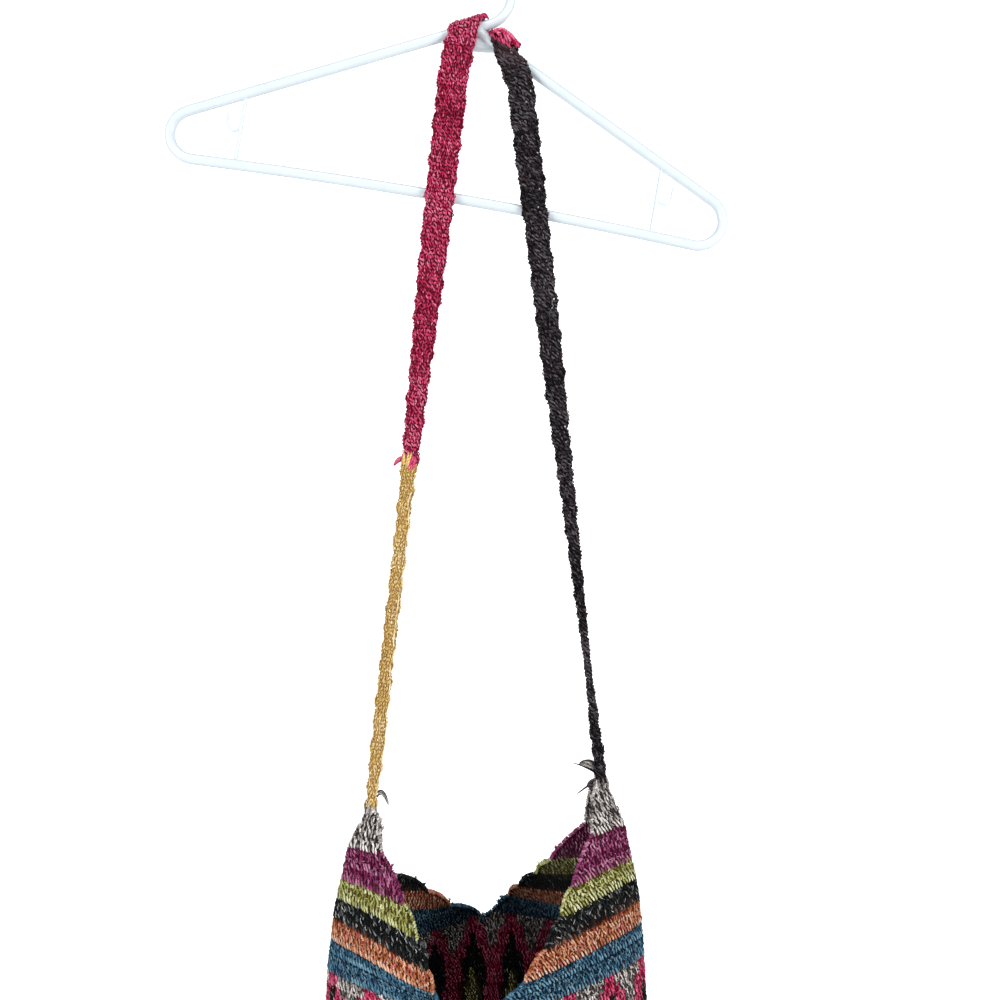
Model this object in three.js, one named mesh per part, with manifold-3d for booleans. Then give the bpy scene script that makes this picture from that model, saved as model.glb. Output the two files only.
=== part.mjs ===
// A crochet bucket bag that hangs by its long strap from a tubular plastic coat hanger.
// Millimetres, +Z up, +X to the right, the front toward -Y.
// The origin is the seat inside the top of the hanger's hook, where a rail would carry it.

import * as THREE from 'three';
import { mergeVertices } from 'three/addons/utils/BufferGeometryUtils.js';
import Module from 'manifold-3d';

// Driving dimensions of the hanger
const HANGER_WIDTH = 420;
const FRAME_TUBE = 7.8;
const HOOK_TUBE = 7.2;
const ARM_SLOPE = THREE.MathUtils.degToRad(26);
const FRAME_HEIGHT = 130;
const BAR_ARCH = 4.3;
const HANGER_TILT = THREE.MathUtils.degToRad(9.75);
// The hook seen from the front, from its seat: where it is widest, the radius of its lower bend, where
// that bend begins and the oval over the rail ends, and the start of its stem inside the neck.
const HOOK = { half: 25.3, level: -17.9, bend: 22.4, from: -80, to: 176, stem: [-7.4, -42.8] };
const NECK_RADIUS = 12;
const BAR_PLACE = 155;
const BAR_THICK = 3;
const SIDE_HOOK = { drop: 22.8, radius: 5.5, straight: 6.5, thick: 2.6, from: -20, to: -180 };
const GUSSET = { half: 22, thick: 3.4, top: -2, side: -12, foot: -14, middle: -16.5 };
const HOOK_TIP = [
  { ahead: 0.5, size: 0.87 },
  { ahead: 0.85, size: 0.53 },
  { ahead: 1, size: 0.2 },
];
const TUBE_SIDES = 12;
const THIN_SIDES = 8;
const HOOK_BEND_STEPS = 9;
const HOOK_OVAL_STEPS = 18;
const BAR_STEPS = 10;
const SIDE_HOOK_STEPS = 9;
const NECK_STEPS = 6;
const END_STEPS = 10;
const ARM_STEPS = 4;
const GUSSET_STEPS = 8;
const WELD = 1e-4;

// Driving dimensions of the crochet
const FABRIC = 3.6;
const REST_GAP = 0.6;
const QUARTER_ROUND = { front: 130, back: 152 };
const BAG_CENTRE = { x: 7.5, y: -2 };
const BAG_YAW = THREE.MathUtils.degToRad(3);
const BACK_SAG = 2;
const SAG_CURVE = 1.15;
const LOOSE_RISE = 45;
const SCALLOP = 3;
const COLUMNS_PER_QUARTER = 20;
const WALL_ROWS = 18;
const ROW_CROWDING = 1.15;
const OVAL_STEPS = 90;

// The bag's wall, a row for each level. rise is the length of fabric above the foot of the blue band,
// level its height at the sides, half its half width, front and back its depth from the side line,
// point the exponent of its plan curve (2 is an ellipse, less is more pointed), roll its tilt in degrees
// and sag how far the middle of the front hangs below the sides.
const BAG_SECTIONS = [
  { rise: -243, level: -950, half: 76, front: 50, back: 50, point: 2.1, roll: 0, sag: 0 },
  { rise: -236, level: -949, half: 83, front: 55, back: 55, point: 2.1, roll: 0, sag: 0 },
  { rise: -222, level: -941.5, half: 95, front: 63, back: 65, point: 2.1, roll: 0, sag: 0 },
  { rise: -205, level: -928, half: 105, front: 69, back: 74, point: 2.1, roll: 0.1, sag: 0 },
  { rise: -180, level: -904.5, half: 112, front: 72, back: 81, point: 2.1, roll: 0.2, sag: 1 },
  { rise: -140, level: -865, half: 116, front: 70, back: 86, point: 1.95, roll: 0.4, sag: 2 },
  { rise: -90, level: -815, half: 117.5, front: 64, back: 90, point: 1.75, roll: 0.8, sag: 6 },
  { rise: -40, level: -765, half: 117, front: 56, back: 92, point: 1.55, roll: 1.1, sag: 11 },
  { rise: 0, level: -725.3, half: 115.2, front: 50, back: 92, point: 1.42, roll: 1.4, sag: 19 },
  { rise: 25.5, level: -701.5, half: 112.8, front: 47, back: 82, point: 1.4, roll: 2.2, sag: 29.5 },
  { rise: 40.8, level: -685.5, half: 111, front: 43, back: 71, point: 1.4, roll: 2.6, sag: 35 },
  { rise: 56.1, level: -670.2, half: 108.5, front: 36, back: 58, point: 1.4, roll: 3.1, sag: 39 },
  { rise: 71.4, level: -657, half: 105.4, front: 26, back: 38, point: 1.4, roll: 3.2, sag: 42 },
  { rise: 96.9, level: -633, half: 100.4, front: 16, back: 19, point: 1.4, roll: 3.9, sag: 37 },
  { rise: 122.4, level: -606.5, half: 87.5, front: 11, back: 12, point: 1.5, roll: 5.6, sag: 0 },
];

// The mouth's edge: the distance along the round from a side line at which the fabric ends at a rise,
// on the right and the left of the front and of the back.
const MOUTH_EDGE = [
  { rise: 122.4, frontRight: 0, frontLeft: 0, backRight: 0, backLeft: 0 },
  { rise: 122.4, frontRight: 7.6, frontLeft: 5.5, backRight: 8.2, backLeft: 6 },
  { rise: 96.9, frontRight: 26, frontLeft: 25.5, backRight: 30, backLeft: 18 },
  { rise: 72, frontRight: 48, frontLeft: 47, backRight: 66, backLeft: 32 },
  { rise: 56.1, frontRight: 64, frontLeft: 63, backRight: 88, backLeft: 52 },
  { rise: 40.8, frontRight: 82, frontLeft: 74, backRight: 109, backLeft: 87 },
  { rise: 25.5, frontRight: 101, frontLeft: 85, backRight: 126, backLeft: 117 },
  { rise: 9, frontRight: 118, frontLeft: 101, backRight: 138, backLeft: 140 },
  { rise: 1, frontRight: 125.5, frontLeft: 113, backRight: 145, backLeft: 149 },
  { rise: -4, frontRight: 130, frontLeft: 130, backRight: 152, backLeft: 152 },
];

// Soft folds. place is the distance along the round to the right of the front middle,
// rise its deepest level, width, up and down its spread, inward how deep it is pushed in,
// drop how far it sags and shift how far it is drawn along the round.
const FOLDS = [
  { place: -26, width: 32, rise: 8, up: 36, down: 80, inward: 15, drop: 9, shift: -22 },
  { place: -48, width: 34, rise: 40, up: 45, down: 36, inward: 0, drop: 10, shift: 6 },
  { place: -240, width: 38, rise: 28, up: 52, down: 60, inward: 3, drop: 10, shift: 0 },
  { place: 218, width: 62, rise: 42, up: 50, down: 30, inward: -6, drop: 15, shift: 0 },
  { place: 62, width: 24, rise: -105, up: 50, down: 60, inward: 6, drop: 0, shift: 0 },
  { place: -92, width: 22, rise: -90, up: 55, down: 60, inward: 7, drop: 0, shift: 0 },
  { place: 180, width: 26, rise: -95, up: 70, down: 60, inward: 7, drop: 0, shift: 0 },
  { place: -205, width: 24, rise: -120, up: 50, down: 50, inward: 5, drop: 0, shift: 0 },
  { place: 262, width: 20, rise: -70, up: 50, down: 70, inward: 8, drop: 0, shift: 0 },
];
const FOLD_END = -232;
const FOLD_FADE = 50;

// The strap's legs, a row for each station. down is the distance below the hook's seat,
// width and thick the band's section there and turn its twist in degrees.
// A leg runs straight down in front of the bottom bar, and from there to its peak's own depth.
const LEFT_LEG = { topX: -16.2, bottomX: -77.4, barY: -6.5, peakY: -6.5, top: 72, bar: 185, bottom: 612.4 };
const RIGHT_LEG = { topX: 30.5, bottomX: 91.6, barY: -6.5, peakY: 2.2, top: 77, bar: 195, bottom: 596.2 };
const GOLD_ROWS = [
  { down: 613.4, width: 7.6, thick: 6.6, turn: 0 },
  { down: 600, width: 7.8, thick: 6.6, turn: 4 },
  { down: 582, width: 9.6, thick: 7, turn: 12 },
  { down: 560, width: 9.8, thick: 7, turn: 20 },
  { down: 500, width: 10, thick: 7, turn: -12 },
  { down: 440, width: 10, thick: 7, turn: 14 },
  { down: 400, width: 10.4, thick: 6.6, turn: 0 },
  { down: 361.2, width: 11.6, thick: 6, turn: 0 },
];
const ROSE_ROWS = [
  { down: 360.9, width: 12, thick: 5.8, turn: 0 },
  { down: 335, width: 14.4, thick: 5, turn: 0 },
  { down: 290, width: 16.6, thick: 4.2, turn: 0 },
  { down: 240, width: 20, thick: 3.6, turn: 0 },
  { down: 180, width: 22.2, thick: 3.6, turn: 0 },
  { down: 120, width: 23, thick: 3.6, turn: 0 },
  { down: 76, width: 23.4, thick: 3.6, turn: 0 },
];
const CHARCOAL_ROWS = [
  { down: 84, width: 20.6, thick: 4, turn: 0 },
  { down: 130, width: 20.4, thick: 3.6, turn: 0 },
  { down: 200, width: 18.8, thick: 3.6, turn: 0 },
  { down: 270, width: 17.6, thick: 3.8, turn: 0 },
  { down: 330, width: 14.4, thick: 4.6, turn: 0 },
  { down: 390, width: 11.2, thick: 5.4, turn: 12 },
  { down: 440, width: 9.6, thick: 5.6, turn: 35 },
  { down: 490, width: 8.8, thick: 5.4, turn: 75 },
  { down: 530, width: 8.6, thick: 5.2, turn: 110 },
  { down: 565, width: 8.8, thick: 6, turn: 160 },
  { down: 597.2, width: 9.4, thick: 7, turn: 180 },
];

// The rose length over the hanger's neck. arm is the side of the arm it lies on (0 is behind the neck),
// along the distance from the neck, round its place around the arm in degrees (0 front, 90 top, 180 back),
// slant the direction of its width and width and thick its section.
const NECK_ROWS = [
  { arm: -1, along: 5.6, round: 4, slant: 12, width: 24.4, thick: 3.6 },
  { arm: -1, along: 3.2, round: 50, slant: 16.25, width: 26.2, thick: 3.4 },
  { arm: -1, along: -0.2, round: 92, slant: 16.25, width: 24.6, thick: 3.2 },
  { arm: -1, along: -0.6, round: 135, slant: 17, width: 20, thick: 3.6 },
  { arm: -1, along: -1.5, round: 178, slant: 32, width: 16, thick: 4 },
  { arm: 0, along: 0, round: 0, slant: 78, width: 13.5, thick: 4.6 },
  { arm: 1, along: 19.5, round: 165, slant: 120, width: 13.5, thick: 4.6 },
  { arm: 1, along: 25.5, round: 145, slant: 142, width: 16, thick: 5 },
  { arm: 1, along: 28.3, round: 116, slant: 144.25, width: 16.4, thick: 6.4 },
  { arm: 1, along: 28.3, round: 84, slant: 144.25, width: 17.6, thick: 7 },
  { arm: 1, along: 28.3, round: 63.5, slant: 144.25, width: 19.2, thick: 6.2 },
];
const CHARCOAL_TOP_ROWS = [
  { arm: 1, along: 26.9, round: 46, slant: 144.25, width: 23.6, thick: 5.6 },
  { arm: 1, along: 27, round: 21, slant: 145, width: 24, thick: 5 },
  { arm: 1, along: 28.5, round: 8, slant: 150, width: 23.5, thick: 4.6 },
];
const BEHIND_NECK = { x: 6, y: 8.6, z: -47 };
const STRAP_STEP = 11;
const NECK_STEP = 2.6;
const BAND_SIDES = 12;
const BAND_SQUARENESS = 0.65;

// Loose yarn ends: the points each one follows, its thickness along it and how much wider than thick it is.
const TAILS = [
  {
    name: 'tail_rose', colour: 0xb04a6c, wide: 1.6, thick: [2, 2, 0.8],
    points: [[-55.6, -6.4, -359.6], [-58.4, -6.8, -360.2], [-62, -7, -364.2]],
  },
  {
    name: 'tail_left', colour: 0x77706e, wide: 1.3, thick: [1.6, 1.8, 0.7],
    points: [[-71.45, -6.5, -602.4], [-67.8, -7, -601.2], [-64, -7.4, -611.8]],
  },
  {
    name: 'tail_fan', colour: 0x6e6866, wide: 3.2, thick: [1.4, 2, 0.6],
    points: [[83.8, 2, -588.6], [78.5, 1, -583], [69.5, 0.6, -582.2]],
  },
  {
    name: 'tail_right', colour: 0x4a4546, wide: 1.3, thick: [1.6, 1.4, 0.6],
    points: [[86.4, 2, -596.4], [79.6, 1, -597.6], [73, 0.6, -606.4]],
  },
];
const TAIL_SIDES = 6;
const TAIL_STEPS = 7;

const wasm = await Module();
wasm.setup();

// A smooth curve through one column of a table, by cubic pieces with slopes from the neighbouring rows.
function columnAt(rows, key, column, at) {
  const last = rows.length - 1;
  const increasing = rows[last][key] > rows[0][key];
  const table = increasing ? rows : [...rows].reverse();
  const place = THREE.MathUtils.clamp(at, table[0][key], table[last][key]);
  let i = 0;
  while (i < last - 1 && table[i + 1][key] <= place) {
    i += 1;
  }
  const slope = (k) => {
    const low = table[Math.max(k - 1, 0)];
    const high = table[Math.min(k + 1, last)];
    return (high[column] - low[column]) / (high[key] - low[key]);
  };
  const span = table[i + 1][key] - table[i][key];
  const t = (place - table[i][key]) / span;
  const rise = t * t * (3 - 2 * t);
  const leave = t * (1 - t) * (1 - t) * span * slope(i);
  const arrive = t * t * (t - 1) * span * slope(i + 1);
  return table[i][column] * (1 - rise) + table[i + 1][column] * rise + leave + arrive;
}

function geometryOf(points, triangles) {
  const geometry = new THREE.BufferGeometry();
  const flat = points.flatMap((p) => [p.x, p.y, p.z]);
  geometry.setAttribute('position', new THREE.Float32BufferAttribute(flat, 3));
  geometry.setIndex(triangles);
  geometry.computeVertexNormals();
  return geometry;
}

// A skin over rings of points. A ring runs anticlockwise seen from the far end, so that faces point out.
// An open skin is closed by a fan at each end, and a closed one joins its last ring to its first.
function loft(rings, closed = false) {
  const sides = rings[0].length;
  const points = rings.flat();
  const triangles = [];
  const joins = closed ? rings.length : rings.length - 1;
  for (let i = 0; i < joins; i += 1) {
    const here = i * sides;
    const next = ((i + 1) % rings.length) * sides;
    for (let k = 0; k < sides; k += 1) {
      const turn = (k + 1) % sides;
      triangles.push(here + k, here + turn, next + turn, here + k, next + turn, next + k);
    }
  }
  if (!closed) {
    const end = (rings.length - 1) * sides;
    for (let k = 1; k < sides - 1; k += 1) {
      triangles.push(0, k + 1, k, end, end + k, end + k + 1);
    }
  }
  return geometryOf(points, triangles);
}

// A ring of points in the plane of two directions, as far along each as its own half size.
// A squareness of 1 gives an ellipse and a smaller one a fuller section.
function ring(centre, wide, tall, halfWide, halfTall, sides, squareness = 1) {
  return Array.from({ length: sides }, (_, k) => {
    const angle = (2 * Math.PI * k) / sides;
    const across = Math.sign(Math.cos(angle)) * Math.abs(Math.cos(angle)) ** squareness * halfWide;
    const up = Math.sign(Math.sin(angle)) * Math.abs(Math.sin(angle)) ** squareness * halfTall;
    return centre.clone().addScaledVector(wide, across).addScaledVector(tall, up);
  });
}

// Tubes in the hanger's own plane, X and Z from the meeting point of its arms

const DEPTH = new THREE.Vector3(0, 1, 0);

function planarTube(points, diameters, sides, closed = false) {
  const count = points.length;
  const rings = points.map((p, i) => {
    const before = points[closed ? (i + count - 1) % count : Math.max(i - 1, 0)];
    const after = points[closed ? (i + 1) % count : Math.min(i + 1, count - 1)];
    const ahead = new THREE.Vector3(after.x - before.x, 0, after.y - before.y).normalize();
    const outward = new THREE.Vector3().crossVectors(DEPTH, ahead);
    const half = diameters[i] / 2;
    return ring(new THREE.Vector3(p.x, 0, p.y), outward, DEPTH, half, half, sides);
  });
  return loft(rings, closed);
}

function arcPoints(x, z, radius, from, to, steps) {
  return Array.from({ length: steps + 1 }, (_, k) => {
    const angle = from + ((to - from) * k) / steps;
    return new THREE.Vector2(x + radius * Math.cos(angle), z + radius * Math.sin(angle));
  });
}

// The frame's closed centreline: neck arc, right arm, right end, bottom bar, left end, left arm.
function frameLine() {
  const corner = FRAME_HEIGHT / Math.tan(ARM_SLOPE);
  const reach = HANGER_WIDTH / 2 - FRAME_TUBE / 2;
  const half = ARM_SLOPE / 2;
  const endRadius = (corner - reach) / (1 / Math.tan(half) - 1);
  const endX = corner - endRadius / Math.tan(half);
  const endZ = -FRAME_HEIGHT + endRadius;
  const neckZ = -NECK_RADIUS / Math.cos(ARM_SLOPE);
  const quarter = Math.PI / 2;
  const neck = arcPoints(0, neckZ, NECK_RADIUS, quarter + ARM_SLOPE, quarter - ARM_SLOPE, NECK_STEPS);
  const right = arcPoints(endX, endZ, endRadius, quarter - ARM_SLOPE, -quarter, END_STEPS);
  const left = arcPoints(-endX, endZ, endRadius, -quarter, -3 * quarter + ARM_SLOPE, END_STEPS);
  const between = (a, b) =>
    Array.from({ length: ARM_STEPS - 1 }, (_, k) => a.clone().lerp(b, (k + 1) / ARM_STEPS));
  const bottom = Array.from({ length: BAR_STEPS - 1 }, (_, k) => {
    const across = 1 - (2 * (k + 1)) / BAR_STEPS;
    return new THREE.Vector2(endX * across, -FRAME_HEIGHT + BAR_ARCH * (1 - across * across));
  });
  return [
    ...neck,
    ...between(neck[neck.length - 1], right[0]),
    ...right,
    ...bottom,
    ...left,
    ...between(left[left.length - 1], neck[0]),
  ];
}

// The hook's line: a stem out of the neck, a round bend and half an oval over the rail.
function hookLine() {
  const { half, level, bend, from, to, stem } = HOOK;
  const lower = arcPoints(half - bend, level, bend, THREE.MathUtils.degToRad(from), 0, HOOK_BEND_STEPS);
  const tall = HOOK_TUBE / 2 - level;
  const upper = arcPoints(0, 0, 1, 0, THREE.MathUtils.degToRad(to), HOOK_OVAL_STEPS).slice(1);
  const oval = upper.map((p) => new THREE.Vector2(half * p.x, level + tall * p.y));
  const neck = new THREE.Vector2(NECK.x, NECK.z);
  return [new THREE.Vector2(...stem), ...lower, ...oval].map((p) =>
    p.sub(neck).rotateAround(new THREE.Vector2(), HANGER_TILT));
}

function hookTube() {
  const line = hookLine();
  const tip = line[line.length - 1];
  const ahead = tip.clone().sub(line[line.length - 2]).normalize();
  const dome = HOOK_TIP.map((row) => tip.clone().addScaledVector(ahead, (row.ahead * HOOK_TUBE) / 2));
  const sizes = [...line.map(() => HOOK_TUBE), ...HOOK_TIP.map((row) => row.size * HOOK_TUBE)];
  return planarTube([...line, ...dome], sizes, TUBE_SIDES);
}

function thinBar(side) {
  const top = -BAR_PLACE * Math.tan(ARM_SLOPE);
  const line = [top, -FRAME_HEIGHT].map((z) => new THREE.Vector2(side * BAR_PLACE, z));
  return planarTube(line, [BAR_THICK, BAR_THICK], THIN_SIDES);
}

function sideHook(side) {
  const { drop, radius, straight, thick, from, to } = SIDE_HOOK;
  const x = BAR_PLACE + radius;
  const z = -BAR_PLACE * Math.tan(ARM_SLOPE) - drop;
  const mirror = (degrees) => THREE.MathUtils.degToRad(side > 0 ? -180 - degrees : degrees);
  const bend = arcPoints(side * x, z, radius, mirror(from), mirror(to), SIDE_HOOK_STEPS);
  const end = bend[bend.length - 1];
  const line = [...bend, new THREE.Vector2(end.x, end.y + straight)];
  return planarTube(line, line.map(() => thick), THIN_SIDES);
}

function gussetPlate() {
  const { half, thick, top, side, foot, middle } = GUSSET;
  const shape = new THREE.Shape();
  shape.moveTo(-half, side);
  shape.lineTo(0, top);
  shape.lineTo(half, side);
  shape.lineTo(half, foot);
  shape.quadraticCurveTo(0, 2 * middle - foot, -half, foot);
  const options = { depth: thick, bevelEnabled: false, curveSegments: GUSSET_STEPS };
  const plate = new THREE.ExtrudeGeometry(shape, options);
  plate.translate(0, 0, -thick / 2);
  plate.rotateX(Math.PI / 2);
  return plate;
}

function solidOf(geometry) {
  const bare = new THREE.BufferGeometry();
  bare.setAttribute('position', geometry.getAttribute('position'));
  bare.setIndex(geometry.getIndex());
  const merged = mergeVertices(bare, WELD);
  const vertProperties = new Float32Array(merged.getAttribute('position').array);
  const triVerts = new Uint32Array(merged.getIndex().array);
  return new wasm.Manifold(new wasm.Mesh({ numProp: 3, vertProperties, triVerts }));
}

function joined(geometries) {
  const mesh = geometries.map(solidOf).reduce((sum, next) => sum.add(next)).getMesh();
  const points = [];
  for (let i = 0; i < mesh.vertProperties.length; i += mesh.numProp) {
    points.push(new THREE.Vector3(...mesh.vertProperties.slice(i, i + 3)));
  }
  return geometryOf(points, Array.from(mesh.triVerts));
}

// The place of the hanger: its hook's inner top is at the origin
const NECK = new THREE.Vector3(-3.64, 0, -41.79);

function hangerMesh() {
  const line = frameLine();
  const frame = planarTube(line, line.map(() => FRAME_TUBE), TUBE_SIDES, true);
  const pieces = [frame, hookTube(), gussetPlate(), ...[-1, 1].flatMap((s) => [thinBar(s), sideHook(s)])];
  const white = new THREE.MeshStandardMaterial({ color: 0xeef3f6, roughness: 0.3, metalness: 0 });
  const mesh = new THREE.Mesh(joined(pieces), white);
  mesh.position.copy(NECK);
  mesh.rotation.y = HANGER_TILT;
  mesh.name = 'hanger';
  return mesh;
}

// The bag

// The point of a quarter of a pointed oval at a distance along it from its side end.
// Where loose is 0 the fabric is shared out over the whole quarter, where it is 1 it keeps its own length.
function ovalPoint(half, deep, point, along, quarter, loose) {
  const spot = (k) => {
    const t = ((Math.PI / 2) * k) / OVAL_STEPS;
    const x = half * Math.max(Math.cos(t), 0) ** (2 / point);
    return new THREE.Vector2(x, deep * Math.sin(t) ** (2 / point));
  };
  const spots = Array.from({ length: OVAL_STEPS + 1 }, (_, k) => spot(k));
  const runs = [0];
  for (let k = 0; k < OVAL_STEPS; k += 1) {
    runs.push(runs[k] + spots[k].distanceTo(spots[k + 1]));
  }
  const total = runs[OVAL_STEPS];
  const want = Math.min(along * THREE.MathUtils.lerp(total / quarter, 1, loose), total);
  let k = 0;
  while (k < OVAL_STEPS - 1 && runs[k + 1] < want) {
    k += 1;
  }
  return spots[k].clone().lerp(spots[k + 1], (want - runs[k]) / (runs[k + 1] - runs[k]));
}

// A point of the wall's middle surface. side is 1 right or -1 left, face -1 front or 1 back,
// along the distance on the round from the side line and rise the level of the fabric.
function wallPoint(side, face, along, rise) {
  const at = (column) => columnAt(BAG_SECTIONS, 'rise', column, rise);
  const quarter = face < 0 ? QUARTER_ROUND.front : QUARTER_ROUND.back;
  const loose = THREE.MathUtils.smoothstep(rise, 0, LOOSE_RISE);
  const plan = ovalPoint(at('half'), at(face < 0 ? 'front' : 'back'), at('point'), along, quarter, loose);
  const hang = Math.min(along / quarter, 1) ** SAG_CURVE;
  const fromFront = side * (face < 0 ? QUARTER_ROUND.front - along : QUARTER_ROUND.front + along);
  const p = new THREE.Vector3(side * plan.x, face * plan.y, 0);
  const inward = new THREE.Vector3(-p.x, -p.y, 0).normalize();
  const rightward = new THREE.Vector3(inward.y, -inward.x, 0);
  const fade = THREE.MathUtils.clamp((rise - FOLD_END) / FOLD_FADE, 0, 1);
  let height = at('level') - (face < 0 ? at('sag') : BACK_SAG * fade) * hang;
  height += p.x * Math.tan(THREE.MathUtils.degToRad(at('roll')));
  for (const fold of FOLDS) {
    const across = (fromFront - fold.place) / fold.width;
    const above = (rise - fold.rise) / (rise > fold.rise ? fold.up : fold.down);
    const near = Math.exp(-across * across - above * above) * fade;
    p.addScaledVector(inward, fold.inward * near).addScaledVector(rightward, fold.shift * near);
    height -= fold.drop * near;
  }
  p.z = height;
  p.applyAxisAngle(new THREE.Vector3(0, 0, 1), BAG_YAW);
  return p.add(new THREE.Vector3(BAG_CENTRE.x, BAG_CENTRE.y, 0));
}

// How high the mouth's edge is. Each band of yarn ends there in a lobe.
function edgeRise(side, face, along) {
  const column = `${face < 0 ? 'front' : 'back'}${side > 0 ? 'Right' : 'Left'}`;
  const rise = columnAt(MOUTH_EDGE, column, 'rise', along);
  const bands = BAG_SECTIONS.map((row) => row.rise).filter((level) => level >= 0);
  const i = bands.findIndex((level, k) => rise >= level && rise < bands[k + 1]);
  if (i < 0) {
    return rise;
  }
  return rise + SCALLOP * Math.sin((Math.PI * (rise - bands[i])) / (bands[i + 1] - bands[i]));
}

function bagColumns() {
  const count = 4 * COLUMNS_PER_QUARTER;
  return Array.from({ length: count }, (_, j) => {
    const quarter = Math.floor(j / COLUMNS_PER_QUARTER);
    const part = (j % COLUMNS_PER_QUARTER) / COLUMNS_PER_QUARTER;
    const side = quarter === 0 || quarter === 3 ? 1 : -1;
    const face = quarter < 2 ? 1 : -1;
    const length = face < 0 ? QUARTER_ROUND.front : QUARTER_ROUND.back;
    return { side, face, along: length * (quarter % 2 === 0 ? part : 1 - part) };
  });
}

function bagGeometry() {
  const columns = bagColumns();
  const count = columns.length;
  const foot = BAG_SECTIONS[0].rise;
  const middle = [];
  for (let i = 0; i <= WALL_ROWS; i += 1) {
    const down = 1 - (1 - i / WALL_ROWS) ** ROW_CROWDING;
    middle.push(columns.map(({ side, face, along }) => {
      const top = edgeRise(side, face, along);
      return wallPoint(side, face, along, top + (foot - top) * down);
    }));
  }
  const normal = (i, j) => {
    if (i === WALL_ROWS) {
      return new THREE.Vector3(0, 0, -1);
    }
    const east = middle[i][(j + 1) % count].clone().sub(middle[i][(j + count - 1) % count]);
    const south = middle[Math.min(i + 1, WALL_ROWS)][j].clone().sub(middle[Math.max(i - 1, 0)][j]);
    return south.cross(east).normalize();
  };
  const skin = (offset) => middle.map((row, i) =>
    row.map((p, j) => p.clone().addScaledVector(normal(i, j), offset)));
  const outer = skin(FABRIC / 2);
  const inner = skin(-FABRIC / 2);
  const rings = [...inner.reverse(), ...outer];
  const points = rings.flat();
  const triangles = [];
  for (let i = 0; i < rings.length - 1; i += 1) {
    for (let j = 0; j < count; j += 1) {
      const a = i * count + j;
      const b = i * count + ((j + 1) % count);
      triangles.push(a, a + count, b + count, a, b + count, b);
    }
  }
  const baseCentre = (row) => row.reduce((sum, p) => sum.add(p), new THREE.Vector3()).divideScalar(count);
  const ends = [{ start: 0, flip: false }, { start: (rings.length - 1) * count, flip: true }];
  ends.forEach(({ start, flip }, e) => {
    const centre = points.length;
    points.push(baseCentre(rings[e * (rings.length - 1)]));
    for (let j = 0; j < count; j += 1) {
      const a = start + j;
      const b = start + ((j + 1) % count);
      triangles.push(...(flip ? [centre, b, a] : [centre, a, b]));
    }
  });
  return geometryOf(points, triangles);
}

function bagMesh() {
  const yarn = new THREE.MeshStandardMaterial({ color: 0x4f7f97, roughness: 0.95, metalness: 0 });
  const mesh = new THREE.Mesh(bagGeometry(), yarn);
  mesh.name = 'bag_body';
  return mesh;
}

// The strap

// Stations down or up a straight leg, as the rows run. slant is the direction of the band's width.
function legStations(leg, rows, slant) {
  const first = rows[0].down;
  const last = rows[rows.length - 1].down;
  const steps = Math.ceil(Math.abs(last - first) / STRAP_STEP);
  return Array.from({ length: steps + 1 }, (_, k) => {
    const down = first + ((last - first) * k) / steps;
    const at = (column) => columnAt(rows, 'down', column, down);
    const x = THREE.MathUtils.mapLinear(down, leg.top, leg.bottom, leg.topX, leg.bottomX);
    const y = THREE.MathUtils.mapLinear(Math.max(down, leg.bar), leg.bar, leg.bottom, leg.barY, leg.peakY);
    const spot = new THREE.Vector3(x, y, -down);
    return { spot, slant, skew: 0, step: STRAP_STEP, turn: at('turn'), width: at('width'), thick: at('thick') };
  });
}

// A station beside an arm of the hanger, clear of its tube.
function neckStation({ arm, along, round, slant, width, thick }) {
  const spot = new THREE.Vector3(BEHIND_NECK.x, BEHIND_NECK.y, BEHIND_NECK.z);
  const station = { spot, slant, skew: Math.abs(arm), step: NECK_STEP, turn: 0, width, thick };
  if (arm === 0) {
    return station;
  }
  const fall = ARM_SLOPE + arm * HANGER_TILT;
  const ahead = new THREE.Vector3(arm * Math.cos(fall), 0, -Math.sin(fall));
  const above = new THREE.Vector3(arm * Math.sin(fall), 0, Math.cos(fall));
  const clear = FRAME_TUBE / 2 + REST_GAP + thick / 2;
  const angle = THREE.MathUtils.degToRad(round);
  spot.copy(NECK).addScaledVector(ahead, along);
  spot.addScaledVector(above, clear * Math.sin(angle)).addScaledVector(DEPTH, -clear * Math.cos(angle));
  return station;
}

// A band through stations: a smooth line through their places, with its width turned as they say. Its
// sections are square to the line, or keep their slant where skew is 1, as a strap does on a sloping arm.
function bandGeometry(stations) {
  const line = new THREE.CatmullRomCurve3(stations.map((s) => s.spot), false, 'centripetal');
  const last = stations.length - 1;
  const places = stations.flatMap((s, i) => {
    const length = i < last ? s.spot.distanceTo(stations[i + 1].spot) : 0;
    const steps = Math.max(1, Math.round(length / s.step));
    return Array.from({ length: steps }, (_, k) => (i + k / steps) / last);
  });
  const rings = places.map((t) => {
    const i = Math.min(Math.floor(t * last), last - 1);
    const part = t * last - i;
    const mix = (column) => THREE.MathUtils.lerp(stations[i][column], stations[i + 1][column], part);
    const ahead = line.getTangent(t);
    const slant = THREE.MathUtils.degToRad(mix('slant'));
    const wide = new THREE.Vector3(Math.cos(slant), 0, Math.sin(slant));
    wide.addScaledVector(ahead, (mix('skew') - 1) * wide.dot(ahead)).normalize();
    wide.applyAxisAngle(ahead, THREE.MathUtils.degToRad(mix('turn')));
    const tall = new THREE.Vector3().crossVectors(ahead, wide).normalize();
    const spot = line.getPoint(t);
    return ring(spot, wide, tall, mix('width') / 2, mix('thick') / 2, BAND_SIDES, BAND_SQUARENESS);
  });
  return loft(rings);
}

function yarnMesh(name, colour, geometry) {
  const yarn = new THREE.MeshStandardMaterial({ color: colour, roughness: 0.95, metalness: 0 });
  const mesh = new THREE.Mesh(geometry, yarn);
  mesh.name = name;
  return mesh;
}

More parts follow.
